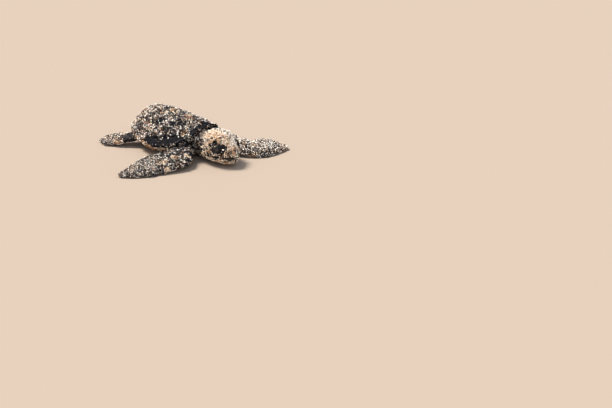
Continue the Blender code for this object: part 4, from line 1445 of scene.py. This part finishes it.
@dataclass
class SandCoat:
    """Beach sand stuck to the whole animal, one small mesh to a grain."""

    seed: int = 77
    sowings: tuple[Sowing, ...] = (
        Sowing(tries=120000, middle=0.55, spread=0.32, smallest=0.36, largest=1.1),
        Sowing(tries=150000, middle=0.26, spread=0.22, smallest=0.16, largest=0.36),
    )
    closeness: float = 0.80  # centres no nearer than this share of two grains' radii added up
    heap: float = 0.55  # how far the second layer lies above the first, where the crust is thick
    facets: tuple[float, ...] = (0.36, 0.52)  # grains wider than these have more faces
    shapes: int = 40
    patch: float = 0.0024  # width of each grain's place in the unwrap
    stray: float = 0.04  # the chance that a grain sticks where the cover has none
    stick: float = 1.15  # how much that chance grows with the cover's density
    lift: tuple[float, float] = (0.08, 0.32)  # how far a grain's middle lies outside, as a share of its width
    heaped: float = 0.45  # share of grains that lie in a second layer where the crust is thick
    tone_spread: float = 0.46
    fine_darker: float = 0.20  # the finest grains are mostly heavy dark minerals
    warmth_spread: float = 0.28

    def sow(self, surfaces: Sequence[Surface]) -> dict[str, np.ndarray]:
        """Picks the places where grains stick.

        Args:
            surfaces: every surface of the animal.

        Returns:
            Arrays named root, centre, normal, size, tone and warmth, with a row for each grain.
        """
        random = np.random.default_rng(self.seed)
        starts = np.cumsum([0, *(len(s.points) for s in surfaces)])
        points = np.concatenate([s.points for s in surfaces])
        faces = np.concatenate([s.faces + start for s, start in zip(surfaces, starts)])
        a, b, c, d = (points[faces[:, k]] for k in range(4))
        across = np.cross(c - a, d - b)
        area = np.linalg.norm(across, axis=1) / 2
        cover = COVER.at((a + c) / 2)
        grooves = np.concatenate([s.values["bare"] for s in surfaces])[faces].max(1)
        cover["density"] = cover["density"] * (1 - grooves * (1 - 0.6 * cover["crust"]))
        weight = area * (0.15 + cover["density"])
        size = np.concatenate([sowing.sizes(random) for sowing in self.sowings])
        tries = len(size)
        face = random.choice(len(faces), tries, p=weight / weight.sum())
        u, v = random.uniform(size=(2, tries, 1))
        root = (a[face] * (1 - u) + b[face] * u) * (1 - v) + (d[face] * (1 - u) + c[face] * u) * v
        normal = unit(across[face])
        keep = random.uniform(size=tries) < self.stray + self.stick * cover["density"][face]
        keep &= random.uniform(size=tries) > self.daintiness(root) * smooth_step(0.5, 0.75, size)
        keep[keep] = self.open_places(points, faces, root[keep], normal[keep])
        heaped = (random.uniform(size=tries) < self.heaped) & (cover["crust"][face] > 0.75)
        lift = size * random.uniform(*self.lift, tries) + heaped * self.heap * random.uniform(0.5, 1, tries)
        centre = root + normal * lift[:, None]
        thin = 1.0 + 0.8 * np.maximum(0.8 - cover["density"][face], 0)
        order = np.flatnonzero(keep)
        order = order[np.argsort(-size[order] * random.uniform(0.5, 1.5, len(order)), kind="stable")]
        chosen = self.spaced(centre, size * thin, order)
        clumpy = COVER.clumpy(np.stack(body_place(root), 1))
        tone = random.normal(cover["tone"][face], self.tone_spread * (0.84 + 0.28 * clumpy))
        tone -= self.fine_darker * (size < self.facets[0]) * (1 - cover["crust"][face])
        warmth = random.normal(cover["warmth"][face], self.warmth_spread)
        return {
            "root": root[chosen],
            "centre": centre[chosen],
            "normal": normal[chosen],
            "size": size[chosen],
            "tone": np.clip(tone[chosen], 0, 1),
            "warmth": np.clip(warmth[chosen], 0, 1),
        }

    def daintiness(self, points: np.ndarray) -> np.ndarray:
        """How far coarse grains are missing, from 0 to 1: mostly on the face and towards the limbs' ends.

        Args:
            points: places in millimetres.

        Returns:
            One share for each point.
        """
        forward, right, _ = body_place(points)
        along, side, _ = HEAD.measure(points)
        face = smooth_step(8, 12, along) * (np.abs(side) < 8.5)
        limb = np.maximum(smooth_step(20, 32, np.abs(right)), smooth_step(-17, -25, forward))
        return np.maximum(0.5 * face, 0.85 * limb)

    def open_places(
        self, points: np.ndarray, faces: np.ndarray, root: np.ndarray, normal: np.ndarray
    ) -> np.ndarray:
        """Which places have room above them for a grain.

        Args:
            points: the corners of every surface.
            faces: their faces.
            root: the places.
            normal: the outward direction at each place.

        Returns:
            True for each place with room.
        """
        tree = BVHTree.FromPolygons(points.tolist(), [corners_of(f) for f in faces.tolist()])
        starts = (root + normal * 0.06).tolist()
        hits = (tree.ray_cast(p, n, 1.1)[0] is None for p, n in zip(starts, normal.tolist()))
        return np.fromiter(hits, bool, len(starts))

    def spaced(self, centre: np.ndarray, size: np.ndarray, order: np.ndarray) -> np.ndarray:
        """Takes grains in order while they keep their distance from those already taken.

        Args:
            centre: the grains' middles.
            size: how wide each one is, with the room it wants round it.
            order: the grains, first ones first.

        Returns:
            The grains taken.
        """
        tree = KDTree(len(order))
        for k in order.tolist():
            tree.insert(centre[k], k)
        tree.balance()
        sizes = size.tolist()
        gone = bytearray(len(sizes))
        chosen = []
        for k in order.tolist():
            if gone[k]:
                continue
            chosen.append(k)
            here = sizes[k]
            for _, other, away in tree.find_range(centre[k], self.closeness * here * 1.25):
                if away < self.closeness / 2 * (here + sizes[other]):
                    gone[other] = 1
        return np.array(chosen)

    def prototypes(self, level: int) -> tuple[np.ndarray, np.ndarray]:
        """Several sub-angular grain shapes one wide, and the corners of their faces.

        Args:
            level: 0 for the finest grains, with eight faces, and 2 for the coarsest, with eighty.

        Returns:
            The corners of each shape, and the corners of each face, which all the shapes share.
        """
        random = np.random.default_rng(self.seed + 1)
        ball = bmesh.new()
        if level == 0:
            bmesh.ops.create_uvsphere(ball, u_segments=4, v_segments=2, radius=0.54)
            bmesh.ops.triangulate(ball, faces=ball.faces)
        else:
            bmesh.ops.create_icosphere(ball, subdivisions=level, radius=0.52)
        ball.verts.index_update()
        corners = np.array([vert.co for vert in ball.verts])
        faces = np.array([[vert.index for vert in face.verts] for face in ball.faces])
        ball.free()
        stretch = random.uniform((0.85, 0.7, 0.55), (1.35, 1.05, 0.9), (self.shapes, 1, 3))
        if level < 2:
            return corners * stretch * random.uniform(0.72, 1.12, (self.shapes, len(corners), 1)), faces
        shapes = np.repeat(corners[None], self.shapes, 0)
        for shape in shapes:
            for cut in unit(random.normal(size=(9, 3))):
                over = shape @ cut - random.uniform(0.26, 0.46)
                shape -= np.outer(np.maximum(over, 0), cut)
        return shapes * stretch * 1.04, faces

    def dress(self, surfaces: Sequence[Surface]) -> None:
        """Lays the grains and makes one piece for each part of the body.

        Args:
            surfaces: every surface of the animal.
        """
        grains = self.sow(surfaces)
        parts = self.parts(grains["root"])
        finish = SandGrains().material()
        for name, slot in self.pieces():
            members = np.flatnonzero(parts == name)
            if len(members):
                self.piece(name, finish, {key: rows[members] for key, rows in grains.items()})

    def pieces(self) -> tuple[tuple[str, Slot], ...]:
        """The coat's pieces, each with the slot it belongs to.

        Returns:
            Pairs of a part of the body and its slot.
        """
        return (
            ("crown", Slot.HIDE),
            ("face", Slot.HIDE),
            ("neck", Slot.HIDE),
            ("flipper_front_right", Slot.HIDE),
            ("flipper_front_left", Slot.HIDE),
            ("flippers_hind", Slot.HIDE),
            ("carapace_right_front", Slot.SHELL),
            ("carapace_right_rear", Slot.SHELL),
            ("carapace_left_front", Slot.SHELL),
            ("carapace_left_rear", Slot.SHELL),
            ("belly", Slot.PLASTRON),
        )

    def parts(self, points: np.ndarray) -> np.ndarray:
        """The name of the piece that each root belongs to.

        Args:
            points: the grains' roots in millimetres.

        Returns:
            One name for each root.
        """
        forward, right, up = body_place(points)
        along, side, _ = HEAD.measure(points)
        head = (along > 0) & (np.abs(side) < 9.6)
        tests = (
            ("crown", head & (up > 9.5)),
            ("face", head),
            ("flipper_front_right", (right > 9) & (forward > 5) & (up < 9) & (forward + right > 24)),
            ("flipper_front_left", (right < -9) & (forward > 5) & (up < 9) & (forward - right > 24)),
            ("flippers_hind", (forward < -8) & (np.abs(right) > 6) & (up < 4.6)),
            ("belly", (up < 3.6) & (np.abs(right) < 15)),
            ("neck", (forward > 13) & (np.abs(right) < 9) & (up < 12.6)),
            ("carapace_right_front", (right > 0) & (forward > 1)),
            ("carapace_right_rear", right > 0),
            ("carapace_left_front", forward > 1),
        )
        return np.select([test for _, test in tests], [name for name, _ in tests], "carapace_left_rear")

    def piece(
        self, name: str, finish: bpy.types.Material, grains: Mapping[str, np.ndarray]
    ) -> None:
        """Makes one piece of the coat.

        Args:
            name: the part of the body.
            finish: the grains' material.
            grains: the rows of its own grains, named as in sow.
        """
        random = np.random.default_rng(self.seed + 2)
        unwrapped = self.unwrap(grains["root"])
        corners, triangles, patches, tones, warmths = [], [], [], [], []
        start = 0
        levels = np.searchsorted(self.facets, grains["size"])
        for level in range(len(self.facets) + 1):
            rows = np.flatnonzero(levels == level)
            shapes, faces = self.prototypes(level)
            count, each = len(rows), shapes.shape[1]
            shape = shapes[random.integers(0, self.shapes, count)]
            normal = unit(grains["normal"][rows] + 0.35 * random.normal(size=(count, 3)))
            along = unit(np.cross(normal, random.normal(size=(count, 3))))
            axes = np.stack([along, np.cross(normal, along), normal], 1)
            turned = np.einsum("gvi,gij->gvj", shape * grains["size"][rows, None, None], axes)
            corners.append((turned + grains["centre"][rows, None]).reshape(-1, 3))
            triangles.append((faces[None] + np.arange(count)[:, None, None] * each + start).reshape(-1, 3))
            patches.append((unwrapped[rows, None] + shape[..., :2] * self.patch).reshape(-1, 2))
            tones.append(np.repeat(grains["tone"][rows], each))
            warmths.append(np.repeat(grains["warmth"][rows], each))
            start += count * each
        place = np.concatenate(corners)
        place[:, 2] = np.maximum(place[:, 2], 0.02)
        triangle = np.concatenate(triangles).astype(np.int32)
        mesh = bpy.data.meshes.new(f"sand_{name}")
        mesh.vertices.add(len(place))
        mesh.vertices.foreach_set("co", (place * MM).astype(np.float32).reshape(-1))
        mesh.loops.add(triangle.size)
        mesh.loops.foreach_set("vertex_index", triangle.reshape(-1))
        mesh.polygons.add(len(triangle))
        mesh.polygons.foreach_set("loop_start", np.arange(0, triangle.size, 3, dtype=np.int32))
        mesh.update(calc_edges=True)
        values = {"tone": np.concatenate(tones), "warmth": np.concatenate(warmths)}
        add_piece(f"sand_{name}", mesh, finish, values)
        layer = mesh.uv_layers.new(name="OFBake")
        flat = np.concatenate(patches)[triangle.reshape(-1)]
        layer.data.foreach_set("uv", flat.astype(np.float32).reshape(-1))

    def unwrap(self, points: np.ndarray) -> np.ndarray:
        """Places on the body part rolled out flat: along its own long axis, and round it.

        Args:
            points: places in millimetres.

        Returns:
            Two numbers between 0 and 1 for each point.
        """
        away = points - points.mean(0)
        axes = np.linalg.svd(away[:: max(1, len(away) // 3000)], full_matrices=False)[2]
        along, wide, thick = (away @ axes.T).T
        length = np.ptp(along)
        round_it = np.arctan2(thick / max(np.ptp(thick), 1), wide / max(np.ptp(wide), 1))
        flat = np.stack([(along - along.min()) / length, round_it / (2 * math.pi) + 0.5], 1)
        return 0.004 + 0.992 * flat


# ---------------------------------------------------------------- studio


@dataclass
class Studio:
    """A plain pale floor under soft daylight-coloured light, and the camera."""

    azimuth: float = math.radians(-48)
    elevation: float = math.radians(20)
    distance: float = 2.0
    frame_width: float = 0.2847  # metres across the picture at the animal
    offset_right: float = 0.0625  # the picture's middle, from the rest face's middle
    offset_up: float = -0.027
    sun: float = 4.45
    sun_colour: str = "#fff6ea"
    sky: float = 0.68
    sky_colour: str = "#e3e8f0"
    floor_colour: str = "#b3a496"
    floor_half: float = 4.0  # metres from the floor's middle to its sides

    def axes(self) -> tuple[Vector, Vector, Vector]:
        """The directions to the right, up and back, as seen along the line to the animal.

        Returns:
            Three directions, each one long.
        """
        level = Vector((math.sin(self.azimuth), -math.cos(self.azimuth), 0))
        back = level * math.cos(self.elevation) + Vector((0, 0, math.sin(self.elevation)))
        right = Vector((math.cos(self.azimuth), math.sin(self.azimuth), 0))
        return right, back.cross(right), back

    def camera(self) -> None:
        """Sets the camera in front of the animal's right side, with the animal to the left in its picture."""
        right, up, back = self.axes()
        data = bpy.data.cameras.new("camera")
        data.sensor_width = 36.0
        data.lens = 36.0 * self.distance / self.frame_width
        made = add_object("camera", data)
        made.location = back * self.distance
        straight = Matrix((right, up, back)).transposed().to_quaternion()
        aside = Vector((self.offset_right, self.offset_up, -self.distance))
        made.rotation_euler = (straight @ Vector((0, 0, -1)).rotation_difference(aside)).to_euler()
        bpy.context.scene.camera = made

    def lights(self) -> None:
        """Light through high cloud, from behind the animal on its right, and an even sky."""
        right, _, back = self.axes()
        level = Vector((back.x, back.y, 0)).normalized()
        data = bpy.data.lights.new("key", "SUN")
        data.energy, data.angle = self.sun, math.radians(22)
        data.color = linear(self.sun_colour)[:3]
        toward = Vector((0, 0, 1.0)) - right * 0.52 - level * 0.28
        add_object("key", data).rotation_euler = toward.to_track_quat("Z", "Y").to_euler()
        world = bpy.data.worlds.new("sky")
        world.use_nodes = True
        background = world.node_tree.nodes["Background"]
        set_node(background, {"Color": linear(self.sky_colour), "Strength": self.sky})
        bpy.context.scene.world = world
        bpy.context.scene.view_settings.view_transform = "Standard"
        bpy.context.scene.cycles.filter_width = 1.1

    def floor(self) -> None:
        """A pale warm matt floor."""
        made, _, shader = new_material("matt_floor")
        set_node(shader, {"Base Color": linear(self.floor_colour), "Roughness": 0.95})
        mesh = bpy.data.meshes.new("floor")
        half = self.floor_half
        corners = ((-half, -half, 0), (half, -half, 0), (half, half, 0), (-half, half, 0))
        mesh.from_pydata(corners, [], [range(4)])
        mesh.materials.append(made)
        floor = add_object("floor", mesh)


def main() -> None:
    """Builds the animal and its studio."""
    logging.basicConfig(level=logging.INFO, format="%(message)s")
    studio = Studio()
    studio.camera()
    studio.lights()
    studio.floor()
    hide, plates, beak = Hide(), Plates(), Beak()
    surfaces = [hide.shape(), *plates.shape().values(), *beak.shape().values()]
    hide.dress()
    plates.dress()
    beak.dress()
    Claws().dress()
    Eyeballs().dress()
    SandCoat().dress(surfaces)


if __name__ == "__main__":
    main()
